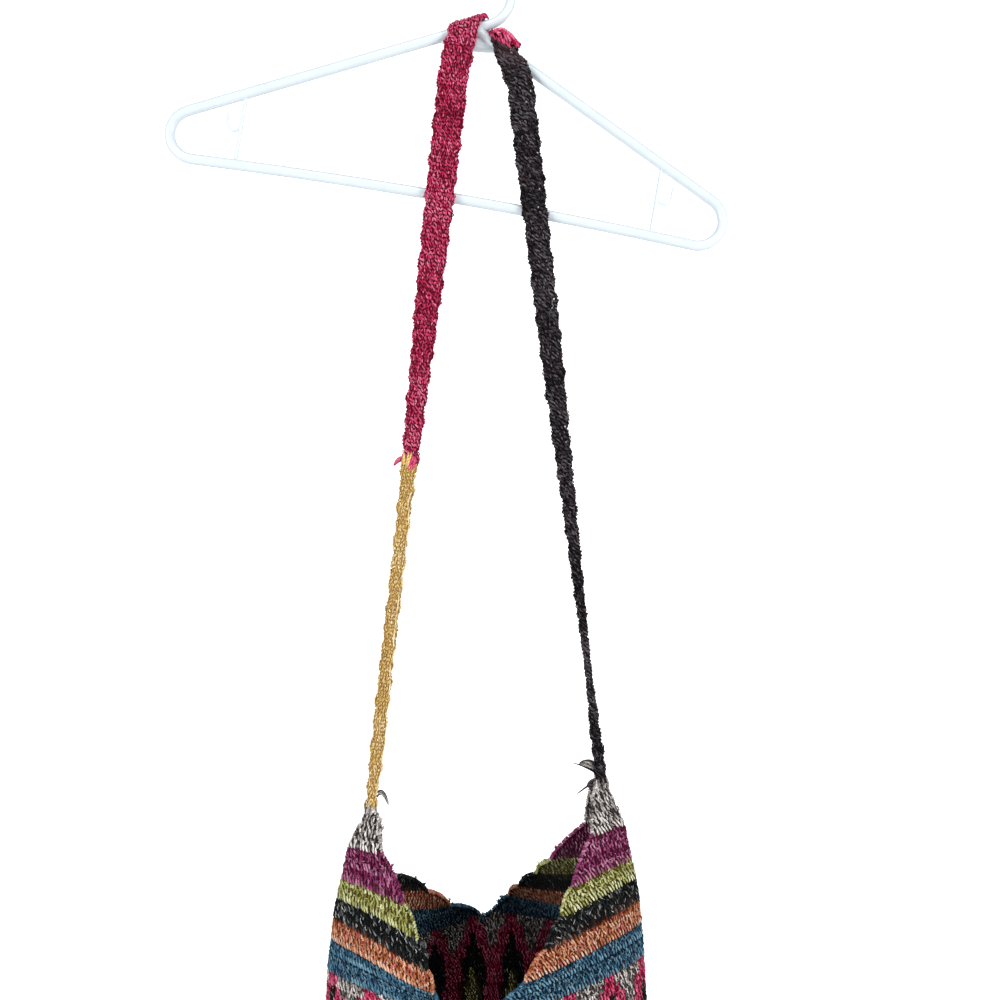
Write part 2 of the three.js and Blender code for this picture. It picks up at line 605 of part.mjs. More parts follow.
function strapMeshes() {
  const gold = legStations(LEFT_LEG, GOLD_ROWS, 0);
  const rose = [...legStations(LEFT_LEG, ROSE_ROWS, 0), ...NECK_ROWS.map(neckStation)];
  const charcoal = [...CHARCOAL_TOP_ROWS.map(neckStation), ...legStations(RIGHT_LEG, CHARCOAL_ROWS, 180)];
  return [
    yarnMesh('strap_gold', 0xc9a25a, bandGeometry(gold)),
    yarnMesh('strap_rose', 0xa9436a, bandGeometry(rose)),
    yarnMesh('strap_charcoal', 0x45403f, bandGeometry(charcoal)),
  ];
}

// A loose yarn end: an oval thread along a curve, thinner toward its tip.
function tailMesh({ name, colour, wide, points, thick }) {
  const line = new THREE.CatmullRomCurve3(points.map((p) => new THREE.Vector3(...p)));
  const rings = Array.from({ length: TAIL_STEPS + 1 }, (_, k) => {
    const t = k / TAIL_STEPS;
    const ahead = line.getTangent(t);
    const across = new THREE.Vector3().crossVectors(DEPTH, ahead).normalize();
    const tall = new THREE.Vector3().crossVectors(ahead, across);
    const half = Math.min(Math.floor(2 * t), 1);
    const size = THREE.MathUtils.lerp(thick[half], thick[half + 1], 2 * t - half);
    return ring(line.getPoint(t), across, tall, (wide * size) / 2, size / 2, TAIL_SIDES);
  });
  return yarnMesh(name, colour, loft(rings));
}

const bag = new THREE.Group();
bag.add(hangerMesh(), bagMesh(), ...strapMeshes(), ...TAILS.map(tailMesh));

export default bag;
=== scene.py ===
# %% [markdown]
# # A crochet bucket bag on a coat hanger
# The bag is worked in the round from twisted yarn and hangs by a long tapered strap from the neck of a
# white tubular hanger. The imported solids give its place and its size. This script dresses them: each
# stitch becomes a few plump strands laid on the cloth, because a painted texture would show
# neither the gaps between stitches nor the uneven edge of the mouth.

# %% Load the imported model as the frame
import math

import bpy
import numpy as np
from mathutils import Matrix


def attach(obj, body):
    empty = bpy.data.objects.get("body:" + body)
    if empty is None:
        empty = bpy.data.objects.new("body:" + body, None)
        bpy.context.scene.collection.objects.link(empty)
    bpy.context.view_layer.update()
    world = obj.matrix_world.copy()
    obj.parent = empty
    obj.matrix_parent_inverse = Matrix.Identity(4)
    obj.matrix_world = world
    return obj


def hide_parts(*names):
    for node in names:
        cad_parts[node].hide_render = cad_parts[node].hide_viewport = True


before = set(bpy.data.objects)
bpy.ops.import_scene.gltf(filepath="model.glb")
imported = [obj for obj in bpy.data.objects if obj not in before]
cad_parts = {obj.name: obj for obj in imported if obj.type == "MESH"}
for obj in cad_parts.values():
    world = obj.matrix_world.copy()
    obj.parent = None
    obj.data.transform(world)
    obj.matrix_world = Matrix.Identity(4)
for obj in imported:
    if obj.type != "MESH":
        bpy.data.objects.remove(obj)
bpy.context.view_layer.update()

MM = 0.001
chance = np.random.default_rng(7)

# %% [markdown]
# ## The camera
# The photograph looks level at the strap, from less than a metre away, so the bag's mouth is seen from
# above and its wide bands lean toward the middle. The camera's distance was found from the sizes of
# the near and the far rim, and its lens from the width of the hanger.

# %% Camera
PICTURE = 1000
CAMERA_PLACE = (16.96, -740.0, -389.0)
MM_PER_PIXEL = 0.7356
SENSOR = 36.0

eye = bpy.data.cameras.new("photo_camera")
eye.sensor_width = SENSOR
eye.lens = SENSOR * -CAMERA_PLACE[1] / (MM_PER_PIXEL * PICTURE)
eye.clip_start = 0.01
camera = bpy.data.objects.new("photo_camera", eye)
camera.location = [c * MM for c in CAMERA_PLACE]
camera.rotation_euler = (math.radians(90), 0, 0)
bpy.context.collection.objects.link(camera)
bpy.context.scene.camera = camera
bpy.context.scene.view_settings.view_transform = "Standard"
print("lens", round(eye.lens, 2), "mm at", camera.location[:])

# %% [markdown]
# ## Small tools
# Cloth, strap, tails and hanger need the same few steps: a smooth curve through a short table,
# directions of length one, the way walked along a line, and triangles between rings of points.

# %% Curves, directions and triangles
TINY = 1e-9


def smooth_column(x, y, at):
    """Cubic pieces through the points (x, y), each slope taken from the neighbouring points."""
    order = np.argsort(x, kind="stable")
    x, y = x[order], y[order]
    slope = np.empty_like(y)
    slope[1:-1] = (y[2:] - y[:-2]) / (x[2:] - x[:-2])
    slope[0] = (y[1] - y[0]) / (x[1] - x[0])
    slope[-1] = (y[-1] - y[-2]) / (x[-1] - x[-2])
    at = np.clip(at, x[0], x[-1])
    i = np.clip(np.searchsorted(x, at) - 1, 0, len(x) - 2)
    span = x[i + 1] - x[i]
    t = (at - x[i]) / span
    ease = t * t * (3 - 2 * t)
    leave = t * (1 - t) ** 2 * span * slope[i]
    arrive = t * t * (t - 1) * span * slope[i + 1]
    return y[i] * (1 - ease) + y[i + 1] * ease + leave + arrive


def unit(vectors):
    """The same directions, each of length one."""
    return vectors / np.maximum(np.linalg.norm(vectors, axis=-1, keepdims=True), TINY)


def walked(line):
    """The way from a line's first point to each of its points, along the line."""
    step = np.linalg.norm(np.diff(line, axis=-2), axis=-1)
    return np.concatenate([np.zeros_like(step[..., :1]), step.cumsum(-1)], -1)


def turned(x, y, angle):
    """The point (x, y) turned about the origin."""
    c, s = math.cos(angle), math.sin(angle)
    return x * c - y * s, x * s + y * c


def parabola(t, start, middle, end):
    """The curve from start to end that passes middle half way."""
    start, middle, end = (np.asarray(p, float) for p in (start, middle, end))
    control = 2 * middle - (start + end) / 2
    return (1 - t) ** 2 * start + 2 * t * (1 - t) * control + t ** 2 * end


def ring_faces(rings, sides, closed=False):
    """Two triangles at each place between a ring of points and the next. Closed joins last to first."""
    i, j = (k.ravel() for k in np.mgrid[:rings if closed else rings - 1, :sides])
    turn, after = (j + 1) % sides, (i + 1) % rings * sides
    a, b, c, d = i * sides + j, i * sides + turn, after + turn, after + j
    return np.concatenate([np.stack([a, b, c], 1), np.stack([a, c, d], 1)])


def pole_faces(rings, sides):
    """Fans over the first and the last ring, from two poles that come after all the rings."""
    j = np.arange(sides)
    turn, end, pole = (j + 1) % sides, (rings - 1) * sides, 0 * j + rings * sides
    return np.concatenate([np.stack([pole, turn, j], 1), np.stack([pole + 1, end + j, end + turn], 1)])


def facing_out(points, faces):
    """The faces of a closed form turned outward, which the sign of its volume tells."""
    corner = points[faces]
    volume = np.einsum("ij,ij->", corner[:, 0], np.cross(corner[:, 1], corner[:, 2]))
    return faces if volume > 0 else faces[:, ::-1]


print("three rings of four points are joined by", len(ring_faces(3, 4)), "triangles")

# %% [markdown]
# ## The shape of the bag
# A hung bag is neither a cylinder nor a cone: near the base its plan is an oval, and near the peaks it
# closes to a narrow pointed one. So the wall is a function of two numbers. w is the distance around
# the round to the right of the front's middle, and rise is the length of cloth above the foot of the
# blue band. A short table gives the plan at a few rises and smooth curves join them.

# %% Tables of the bag's shape, in millimetres
# cloth from the front's middle to the side line, and from there to the back's middle
FRONT_QUARTER, BACK_QUARTER = 130.0, 152.0
ROUND = 2 * (FRONT_QUARTER + BACK_QUARTER)
# rise of the foot and of the peaks, place and turn of the bag
FOOT, TIP = -243.0, 122.4
BAG_CENTRE, BAG_YAW = (7.5, -2.0), math.radians(3)
# how far the back's middle sags and by what power of the distance from the side
BACK_SAG, SAG_CURVE = 2.0, 1.15
# over this rise the cloth passes from filling the round to its true length from the side line
LOOSE_RISE = 45.0
# height of the lobe at the end of each band, and points along a quarter of the oval
LOBE, OVAL_STEPS = 3.0, 91

# rise, level at the sides, half width, depth in front, depth behind, exponent, roll in degrees, front sag
SECTIONS = np.array([
    (-243, -950, 76, 50, 50, 2.1, 0, 0),
    (-236, -949, 83, 55, 55, 2.1, 0, 0),
    (-222, -941.5, 95, 63, 65, 2.1, 0, 0),
    (-205, -928, 105, 69, 74, 2.1, 0.1, 0),
    (-180, -904.5, 112, 72, 81, 2.1, 0.2, 1),
    (-140, -865, 116, 70, 86, 1.95, 0.4, 2),
    (-90, -815, 117.5, 64, 90, 1.75, 0.8, 6),
    (-40, -765, 117, 56, 92, 1.55, 1.1, 11),
    (0, -725.3, 115.2, 50, 92, 1.42, 1.4, 19),
    (25.5, -701.5, 112.8, 47, 82, 1.4, 2.2, 29.5),
    (40.8, -685.5, 111, 43, 71, 1.4, 2.6, 35),
    (56.1, -670.2, 108.5, 36, 58, 1.4, 3.1, 39),
    (71.4, -657, 105.4, 26, 38, 1.4, 3.2, 42),
    (96.9, -633, 100.4, 16, 19, 1.4, 3.9, 37),
    (122.4, -606.5, 87.5, 11, 12, 1.5, 5.6, 0),
], float)

# rise, then how far from the side line the cloth reaches: front right, front left, back right, back left
MOUTH_EDGE = np.array([
    (122.4, 0, 0, 0, 0),
    (122.4, 7.6, 5.5, 8.2, 6),
    (96.9, 26, 25.5, 30, 18),
    (72, 48, 47, 66, 32),
    (56.1, 64, 63, 88, 52),
    (40.8, 82, 74, 109, 87),
    (25.5, 101, 85, 126, 117),
    (9, 118, 101, 138, 140),
    (1, 125.5, 113, 145, 149),
    (-4, 130, 130, 152, 152),
], float)

# place around, width, rise, spread up, spread down, depth inward, drop, shift around
FOLDS = (
    (-26, 32, 8, 36, 80, 15, 9, -22),
    (-48, 34, 40, 45, 36, 0, 10, 6),
    (-240, 38, 28, 52, 60, 3, 10, 0),
    (218, 62, 42, 50, 30, -6, 15, 0),
    (62, 24, -105, 50, 60, 6, 0, 0),
    (-92, 22, -90, 55, 60, 7, 0, 0),
    (180, 26, -95, 70, 60, 7, 0, 0),
    (-205, 24, -120, 50, 50, 5, 0, 0),
    (262, 20, -70, 50, 70, 8, 0, 0),
)
# the folds begin at this rise, just above the base, and are full so much higher
FOLD_END, FOLD_FADE = -232.0, 50.0
# rise at the foot of each band of yarn
BAND_FEET = np.array([0, 25.5, 40.8, 56.1, 71.4, 96.9, 122.4])
print("bag round", ROUND, "mm, cloth", TIP - FOOT, "mm tall at its peaks")


# %% The wall as a function of w and rise
def quarters(w):
    """Which side (1 right, -1 left), which face (-1 front, 1 back) and how far from the side line."""
    w = (np.asarray(w, float) + ROUND / 2) % ROUND - ROUND / 2
    side = np.where(w < 0, -1.0, 1.0)
    face = np.where(np.abs(w) <= FRONT_QUARTER, -1.0, 1.0)
    return w, side, face, np.abs(np.abs(w) - FRONT_QUARTER)


def wall_point(w, rise):
    """A quarter of a pointed oval, x = half cos^(2/n), y = deep sin^(2/n), walked along by its own length,
    then lowered toward the middle, rolled, pushed in at the folds and turned to the bag's place."""
    w, side, face, along = quarters(w)
    columns = (smooth_column(SECTIONS[:, 0], SECTIONS[:, k], rise) for k in range(1, 8))
    level, half, front, back, power, roll, sag = columns
    level = level + np.maximum(rise - TIP, 0)
    deep = np.where(face < 0, front, back)
    quarter = np.where(face < 0, FRONT_QUARTER, BACK_QUARTER)
    turn = np.linspace(0, np.pi / 2, OVAL_STEPS)
    x = half[..., None] * np.clip(np.cos(turn), 0, 1) ** (2 / power[..., None])
    y = deep[..., None] * np.sin(turn) ** (2 / power[..., None])
    run = np.cumsum(np.hypot(np.diff(x, axis=-1), np.diff(y, axis=-1)), -1)
    run = np.concatenate([np.zeros_like(run[..., :1]), run], -1)
    total = run[..., -1]
    loose = np.clip(rise / LOOSE_RISE, 0, 1)
    loose = loose * loose * (3 - 2 * loose)
    want = np.minimum(along * (total / quarter * (1 - loose) + loose), total)
    i = np.clip((run < want[..., None]).sum(-1) - 1, 0, OVAL_STEPS - 2)

    def pick(values, k):
        return np.take_along_axis(values, k[..., None], -1)[..., 0]

    gap = np.maximum(pick(run, i + 1) - pick(run, i), TINY)
    part = np.clip((want - pick(run, i)) / gap, 0, 1)
    px = side * (pick(x, i) * (1 - part) + pick(x, i + 1) * part)
    py = face * (pick(y, i) * (1 - part) + pick(y, i + 1) * part)
    fade = np.clip((rise - FOLD_END) / FOLD_FADE, 0, 1)
    hang = np.clip(along / quarter, 0, 1) ** SAG_CURVE
    pz = level - np.where(face < 0, sag, BACK_SAG * fade) * hang + px * np.tan(np.radians(roll))
    away = np.hypot(px, py)
    in_x, in_y = -px / away, -py / away
    for place, width, middle, up, down, inward, drop, shift in FOLDS:
        higher = (rise - middle) / np.where(rise > middle, up, down)
        near = np.exp(-((w - place) / width) ** 2 - higher ** 2) * fade
        px = px + near * (inward * in_x + shift * in_y)
        py = py + near * (inward * in_y - shift * in_x)
        pz = pz - drop * near
    px, py = turned(px, py, BAG_YAW)
    return np.stack([BAG_CENTRE[0] + px, BAG_CENTRE[1] + py, pz], -1)


def mouth_rise(w):
    """How high the cloth reaches at w. Each band of yarn ends there in a lobe, half a sine wave high."""
    _, side, face, along = quarters(w)
    column = np.where(face < 0, np.where(side > 0, 1, 2), np.where(side > 0, 3, 4))
    edges = [smooth_column(MOUTH_EDGE[:, k], MOUTH_EDGE[:, 0], along) for k in range(1, 5)]
    rise = np.choose(column - 1, edges)
    band = np.clip(np.searchsorted(BAND_FEET, rise, side="right") - 1, 0, len(BAND_FEET) - 2)
    part = (rise - BAND_FEET[band]) / (BAND_FEET[band + 1] - BAND_FEET[band])
    return rise + np.where((part > 0) & (part < 1), LOBE * np.sin(np.pi * part), 0)


print("the mouth at the middle of the front and of the back:", mouth_rise(np.array([0, ROUND / 2])), "mm")

# %% [markdown]
# ## A map of the cloth
# Stitches are easy to draw on flat cloth and hard to draw on a sagging bag. So the shape is worked out
# once on a fine grid, with its outward direction, and every strand is drawn flat, in distance around,
# rise and lift off the cloth, then laid on the bag by reading the grid between its points.

# %% Grids that carry flat drawings to their place
# distance of the grid's points, how far it goes on above the peaks
CLOTH_STEP, CLOTH_OVER = 1.41, 12.0
# cloth from the foot to the base's middle, and the share of it that is drawn
BASE_REACH, BASE_CLOSED = 63.0, 0.99
LAST_CELL = 1.001


def cloth_map(point, u_start, u_step, v_start, v_step):
    """Keeps a grid of points, rows along v and columns around u, with unit normals du x dv."""
    across = np.roll(point, -1, 1) - np.roll(point, 1, 1)
    normal = unit(np.cross(across, np.gradient(point, axis=0)))
    return {"point": point, "normal": normal, "u": (u_start, u_step), "v": (v_start, v_step)}


def lay(cloth, u, v, lift):
    """Reads the grid between its points, around in u and held at its ends in v, and goes out along the
    normal by the lift."""
    rows, columns = cloth["point"].shape[:2]
    a = (u - cloth["u"][0]) / cloth["u"][1]
    b = np.clip((v - cloth["v"][0]) / cloth["v"][1], 0, rows - LAST_CELL)
    i, j = np.floor(a).astype(int), np.floor(b).astype(int)
    a, b = (a - i)[..., None], (b - j)[..., None]
    left, right = i % columns, (i + 1) % columns

    def read(grid):
        low = grid[j, left] * (1 - a) + grid[j, right] * a
        high = grid[j + 1, left] * (1 - a) + grid[j + 1, right] * a
        return low * (1 - b) + high * b

    normal = unit(read(cloth["normal"]))
    return read(cloth["point"]) + normal * np.asarray(lift)[..., None], normal


def bag_map():
    """The wall from its foot to above the peaks, and below the foot a flat base drawn in to its middle."""
    columns = int(round(ROUND / CLOTH_STEP))
    step = ROUND / columns
    w = -ROUND / 2 + step * np.arange(columns)
    rise = np.arange(FOOT - BASE_REACH, TIP + CLOTH_OVER, CLOTH_STEP)
    point = wall_point(*np.meshgrid(w, np.maximum(rise, FOOT)))
    inward = np.clip((FOOT - rise) / BASE_REACH, 0, BASE_CLOSED)[:, None, None]
    rim = point[:1]
    middle = rim.mean(1, keepdims=True)
    point = np.where(inward > 0, rim * (1 - inward) + middle * inward, point)
    return cloth_map(point, w[0], step, rise[0], CLOTH_STEP)


bag_cloth = bag_map()
print("cloth grid", bag_cloth["point"].shape)

# %% [markdown]
# ## Strands
# A crochet stitch seen from outside is a V: two legs of yarn that rise from one point and go under the
# next row. A leg here is one or two spindles, short closed tubes that are fattest in their middle, with
# a few rings of three to seven sides. Thousands of spindles are worked out as one array and become one
# mesh.

# %% Spindles from arrays, and meshes from spindles
PLY_PITCH = 2.6


def spindle_template(stations, sides):
    """Triangles of one spindle: a pole, the rings between, a pole. Also each corner's station and turn."""
    rings = stations - 2
    ring, turn = np.meshgrid(np.arange(rings - 1), np.arange(sides), indexing="ij")
    ring, turn = ring.ravel(), turn.ravel()

    def at(k, j):
        return 1 + k * sides + j % sides

    a, b, c, d = at(ring, turn), at(ring + 1, turn), at(ring + 1, turn + 1), at(ring, turn + 1)
    j = np.arange(sides)
    end = 1 + rings * sides
    faces = [np.stack([a, b, c], 1), np.stack([a, c, d], 1),
             np.stack([np.zeros_like(j), at(0, j), at(0, j + 1)], 1),
             np.stack([np.full_like(j, end), at(rings - 1, j + 1), at(rings - 1, j)], 1)]
    station = [np.stack([ring, ring + 1, ring + 1], 1) + 1, np.stack([ring, ring + 1, ring], 1) + 1,
               np.stack([0 * j, 0 * j + 1, 0 * j + 1], 1),
               np.stack([0 * j + rings + 1, 0 * j + rings, 0 * j + rings], 1)]
    around = [np.stack([turn, turn, turn + 1], 1), np.stack([turn, turn + 1, turn + 1], 1),
              np.stack([j + 0.5, j, j + 1], 1), np.stack([j + 0.5, j + 1, j], 1)]
    return np.concatenate(faces), np.concatenate(station), np.concatenate(around) / sides


def spindles(path, normal, radius, colour, sides):
    """Rings across each path: path + radius (cos t side + sin t up), side = ahead x normal.
    path, normal and colour are (strands, stations, 3), radius is (strands, stations)."""
    count, stations = path.shape[:2]
    ahead = np.gradient(path, axis=1)
    side = unit(np.cross(ahead, normal))
    up = unit(np.cross(side, ahead))
    angle = 2 * np.pi * np.arange(sides)[:, None] / sides
    inner = slice(1, stations - 1)
    across = np.cos(angle) * side[:, inner, None] + np.sin(angle) * up[:, inner, None]
    ring = path[:, inner, None] + radius[:, inner, None, None] * across
    points = np.concatenate([path[:, :1], ring.reshape(count, -1, 3), path[:, -1:]], 1)
    tint = np.concatenate([colour[:, :1], np.repeat(colour[:, inner], sides, 1), colour[:, -1:]], 1)
    run = walked(path) / PLY_PITCH + chance.random((count, 1))
    faces, station, around = spindle_template(stations, sides)
    uv = np.stack([run[:, station], np.broadcast_to(around, (count,) + around.shape)], -1)
    offset = (np.arange(count) * points.shape[1])[:, None, None]
    return {"points": points.reshape(-1, 3), "faces": (faces + offset).reshape(-1, 3),
            "uv": uv.reshape(-1, 2), "tint": tint.reshape(-1, 3)}


def skin_part(points, faces, tint, pitch=PLY_PITCH):
    """A part that is no strand, with x and z as its UV map."""
    uv = points[faces.ravel()][:, [0, 2]] / pitch
    return {"points": points, "faces": faces, "tint": tint, "uv": uv}


def put_mesh(name, parts, finish):
    """Joins the parts' arrays, in millimetres, into one mesh object that rides on the part."""
    start = np.cumsum([0] + [len(p["points"]) for p in parts])
    points = np.concatenate([p["points"] for p in parts]) * MM
    faces = np.concatenate([p["faces"] + k for p, k in zip(parts, start)]).astype(np.int32)
    mesh = bpy.data.meshes.new(name)
    mesh.vertices.add(len(points))
    mesh.vertices.foreach_set("co", points.astype(np.float32).ravel())
    mesh.loops.add(faces.size)
    mesh.loops.foreach_set("vertex_index", faces.ravel())
    mesh.polygons.add(len(faces))
    mesh.polygons.foreach_set("loop_start", np.arange(0, faces.size, 3, dtype=np.int32))
    mesh.update(calc_edges=True)
    mesh.polygons.foreach_set("use_smooth", np.ones(len(faces), bool))
    uv = mesh.uv_layers.new(name="twist")
    uv.uv.foreach_set("vector", np.concatenate([p["uv"] for p in parts]).astype(np.float32).ravel())
    tint = np.concatenate([p["tint"] for p in parts])
    layer = mesh.color_attributes.new("tint", "FLOAT_COLOR", "POINT")
    colour = np.column_stack([tint, np.ones(len(tint))])
    layer.data.foreach_set("color", colour.astype(np.float32).ravel())
    mesh.materials.append(finish)
    piece = bpy.data.objects.new(name, mesh)
    bpy.context.collection.objects.link(piece)
    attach(piece, "root")
    print(f"{name}: {len(faces)} triangles")
    return piece


# %% [markdown]
# ## Yarn finishes
# The yarn is hand dyed: along one thread it drifts from dark to light, and now and then a pale fibre
# shows. The drift is worked out strand by strand and stored as the tint on the mesh, together with painted
# shade and highlight where strands lie under or over others. What is finer than a strand comes from one
# node group: the groove of the ply, which winds around the strand by its UV map and darkens the colour
# there as painted shade, and a fine fuzz from noise on object coordinates. Both also feed the bump.


# %% The twisted yarn node group and the yarn finishes
def linear(rgb):
    """A display colour of 0 to 255 as linear light."""
    c = np.asarray(rgb, float) / 255
    return np.where(c <= 0.04045, c / 12.92, ((c + 0.055) / 1.055) ** 2.4)


def twisted_yarn_group():
    """Colour = tint x (1 - groove depth x groove) x (1 + fuzz x noise). Groove is a sine of u + plies v.
    The darker colour in the groove is painted shade.
    """
    group = bpy.data.node_groups.new("twisted_yarn", "ShaderNodeTree")
    sockets = group.interface
    sockets.new_socket("Tint", in_out="INPUT", socket_type="NodeSocketColor")
    for name, value in (("Plies", 2.0), ("Groove", 0.4), ("Fuzz", 0.35), ("Fuzz Scale", 900.0)):
        sockets.new_socket(name, in_out="INPUT", socket_type="NodeSocketFloat").default_value = value
    sockets.new_socket("Colour", in_out="OUTPUT", socket_type="NodeSocketColor")
    sockets.new_socket("Height", in_out="OUTPUT", socket_type="NodeSocketFloat")
    nodes, links = group.nodes, group.links
    inward, outward = nodes.new("NodeGroupInput"), nodes.new("NodeGroupOutput")

    def math_node(operation, a, b):
        node = nodes.new("ShaderNodeMath")
        node.operation = operation
        for socket, value in zip(node.inputs, (a, b)):
            if hasattr(value, "is_linked"):
                links.new(value, socket)
            elif value is not None:
                socket.default_value = value
        return node.outputs[0]

    uv = nodes.new("ShaderNodeUVMap")
    uv.uv_map = "twist"
    split = nodes.new("ShaderNodeSeparateXYZ")
    links.new(uv.outputs[0], split.inputs[0])
    around = math_node("MULTIPLY", split.outputs[1], inward.outputs["Plies"])
    winding = math_node("ADD", split.outputs[0], around)
    wave = math_node("SINE", math_node("MULTIPLY", winding, 2 * math.pi), None)
    ridge = math_node("ADD", math_node("MULTIPLY", wave, 0.5), 0.5)
    place = nodes.new("ShaderNodeTexCoord")
    noise = nodes.new("ShaderNodeTexNoise")
    noise.inputs["Detail"].default_value = 2.0
    links.new(place.outputs["Object"], noise.inputs["Vector"])
    links.new(inward.outputs["Fuzz Scale"], noise.inputs["Scale"])
    # painted shade: the colour is darker in the ply's groove
    groove_shade = math_node("MULTIPLY", math_node("SUBTRACT", 1.0, ridge), inward.outputs["Groove"])
    fuzz = math_node("MULTIPLY", math_node("SUBTRACT", noise.outputs[0], 0.5), inward.outputs["Fuzz"])
    bright = math_node("ADD", math_node("SUBTRACT", 1.0, groove_shade), math_node("MULTIPLY", fuzz, 2.0))
    scale = nodes.new("ShaderNodeVectorMath")
    scale.operation = "SCALE"
    links.new(inward.outputs["Tint"], scale.inputs[0])
    links.new(bright, scale.inputs["Scale"])
    links.new(scale.outputs[0], outward.inputs["Colour"])
    links.new(math_node("ADD", ridge, noise.outputs[0]), outward.inputs["Height"])
    return group


TWISTED_YARN = twisted_yarn_group()


def new_finish(name):
    """A new material, its nodes and links and its surface shader."""
    finish = bpy.data.materials.new(name)
    finish.use_nodes = True
    tree = finish.node_tree
    return finish, tree.nodes, tree.links, tree.nodes["Principled BSDF"]


def set_inputs(node, values):
    """Gives a node's inputs their values by name."""
    for name, value in values.items():
        node.inputs[name].default_value = value


def yarn_finish(name, groove_shade, fuzz, bump, sheen):
    """A matt yarn: tint from the mesh through the twisted yarn group, with bump and a soft sheen."""
    finish, nodes, links, skin = new_finish(name)
    set_inputs(skin, {"Roughness": 0.92, "Specular IOR Level": 0.06,
                      "Sheen Weight": sheen, "Sheen Roughness": 0.6})
    tint = nodes.new("ShaderNodeVertexColor")
    tint.layer_name = "tint"
    yarn = nodes.new("ShaderNodeGroup")
    yarn.node_tree = TWISTED_YARN
    set_inputs(yarn, {"Groove": groove_shade, "Fuzz": fuzz})
    relief = nodes.new("ShaderNodeBump")
    set_inputs(relief, {"Strength": bump, "Distance": 0.0004})
    links.new(tint.outputs["Color"], yarn.inputs["Tint"])
    links.new(yarn.outputs["Colour"], skin.inputs["Base Color"])
    links.new(yarn.outputs["Height"], relief.inputs["Height"])
    links.new(relief.outputs["Normal"], skin.inputs["Normal"])
    return finish


# dark, middle and light of each yarn, then a stray fibre's colour and the share of strands that show it
YARNS = {
    "grey": ((78, 71, 69), (193, 186, 180), (246, 241, 237), (52, 47, 46), 0.14),
    "purple": ((92, 8, 50), (151, 62, 112), (206, 142, 172), (70, 10, 42), 0.08),
    "green": ((115, 108, 42), (176, 178, 103), (230, 231, 184), (118, 100, 54), 0.05),
    "black": ((3, 4, 4), (17, 20, 21), (42, 47, 49), (104, 108, 107), 0.16),
    "orange": ((146, 67, 31), (206, 135, 97), (241, 197, 170), (190, 88, 98), 0.12),
    "blue": ((8, 42, 64), (66, 112, 138), (124, 166, 188), (52, 60, 98), 0.08),
    "rose": ((138, 5, 46), (218, 64, 110), (243, 134, 168), (118, 14, 42), 0.08),
    "charcoal": ((14, 10, 13), (60, 54, 60), (112, 104, 110), (62, 36, 42), 0.06),
    "gold": ((208, 166, 91), (231, 197, 126), (252, 230, 188), (206, 152, 112), 0.1),
}
# how far the strands of a yarn differ in tone, and the stations of one strand
SPREAD = {"grey": 0.6, "gold": 0.3, "charcoal": 0.55, "rose": 0.4, "blue": 0.5}
PLAIN_SPREAD, STATION_SPREAD = 0.45, 0.22
STRAY_COVER = (0.4, 1.0)
YARN_LOOK = {"groove_shade": 0.4, "fuzz": 0.45, "bump": 0.8, "sheen": 0.03}
FINISHES = {name: yarn_finish(f"{name}_yarn", **YARN_LOOK) for name in YARNS}


def strand_tints(yarn, count, stations, dye_and_shade=0.0):
    """Tint per station: the yarn's middle, moved toward light or dark by the given shift and by chance,
    with a stray fibre's colour over some strands. The shift is the dye's drift, and from some callers also
    painted shade and highlight."""
    dark, middle, light, stray, share = (linear(c) if np.ndim(c) else c for c in YARNS[yarn])
    value = np.asarray(dye_and_shade) + SPREAD.get(yarn, PLAIN_SPREAD) * chance.standard_normal((count, 1))
    value = value + STATION_SPREAD * chance.standard_normal((count, stations))
    value = np.clip(value, -1, 1)[..., None]
    tint = middle + np.where(value > 0, value * (light - middle), -value * (dark - middle))
    odd = chance.random((count, 1)) < share
    odd = (odd * chance.uniform(*STRAY_COVER, (count, stations)))[..., None]
    return tint * (1 - odd) + stray * odd


print(len(FINISHES), "yarn finishes share one node group")

# %% [markdown]
# ## The chart
# The rows are counted up from the foot of the blue band. Above it are plain bands. Below it a flame
# pattern repeats seventeen times around: a rose chevron that points up, grey between the points, and a
# black spear with a green heart inside. The part of the bag below the picture's edge is not known, so
# the flames close in a mirror image, and plain rounds of blue, orange and charcoal finish it.

# %% Which yarn each stitch is worked in
ROW = 5.1
STITCHES = 119
REPEATS = 17
BANDS = (("blue", 0, 5), ("orange", 5, 8), ("black", 8, 11),
         ("green", 11, 14), ("purple", 14, 19), ("grey", 19, 25))
TOP_ROW = 25
FLAME_ROWS = 26
FLAME_PLACE = 24.67
LOWER_BANDS = (("blue", -29, -26), ("orange", -31, -29), ("charcoal", -99, -31))
CODES = list(YARNS)
# how far the flames are drawn aside, around which place and how wide
DRAWN_ASIDE = (14.0, -105.0, 70.0)
# the chevron's half width in stitches, how much narrower it starts and over how many rows
CHEVRON = (3.5, 2.6, 6)
# spear and heart: yarn, row where it starts, half width gained in a row, largest half width
INNER_FLAMES = (("black", 1.4, 0.3, 2.1), ("green", 7.4, 0.24, 1.2))
# below SHAPED_RISE the stitches of a round are as many as fit
SHAPED_RISE, BASE_STITCH, FEWEST = -190.0, 4.6, 6
ROUND_LEAN = 0.15
ROUND_SAMPLES = 200
KEPT_SHARE = 0.62
STRETCH_LIMITS = (0.55, 1.15)


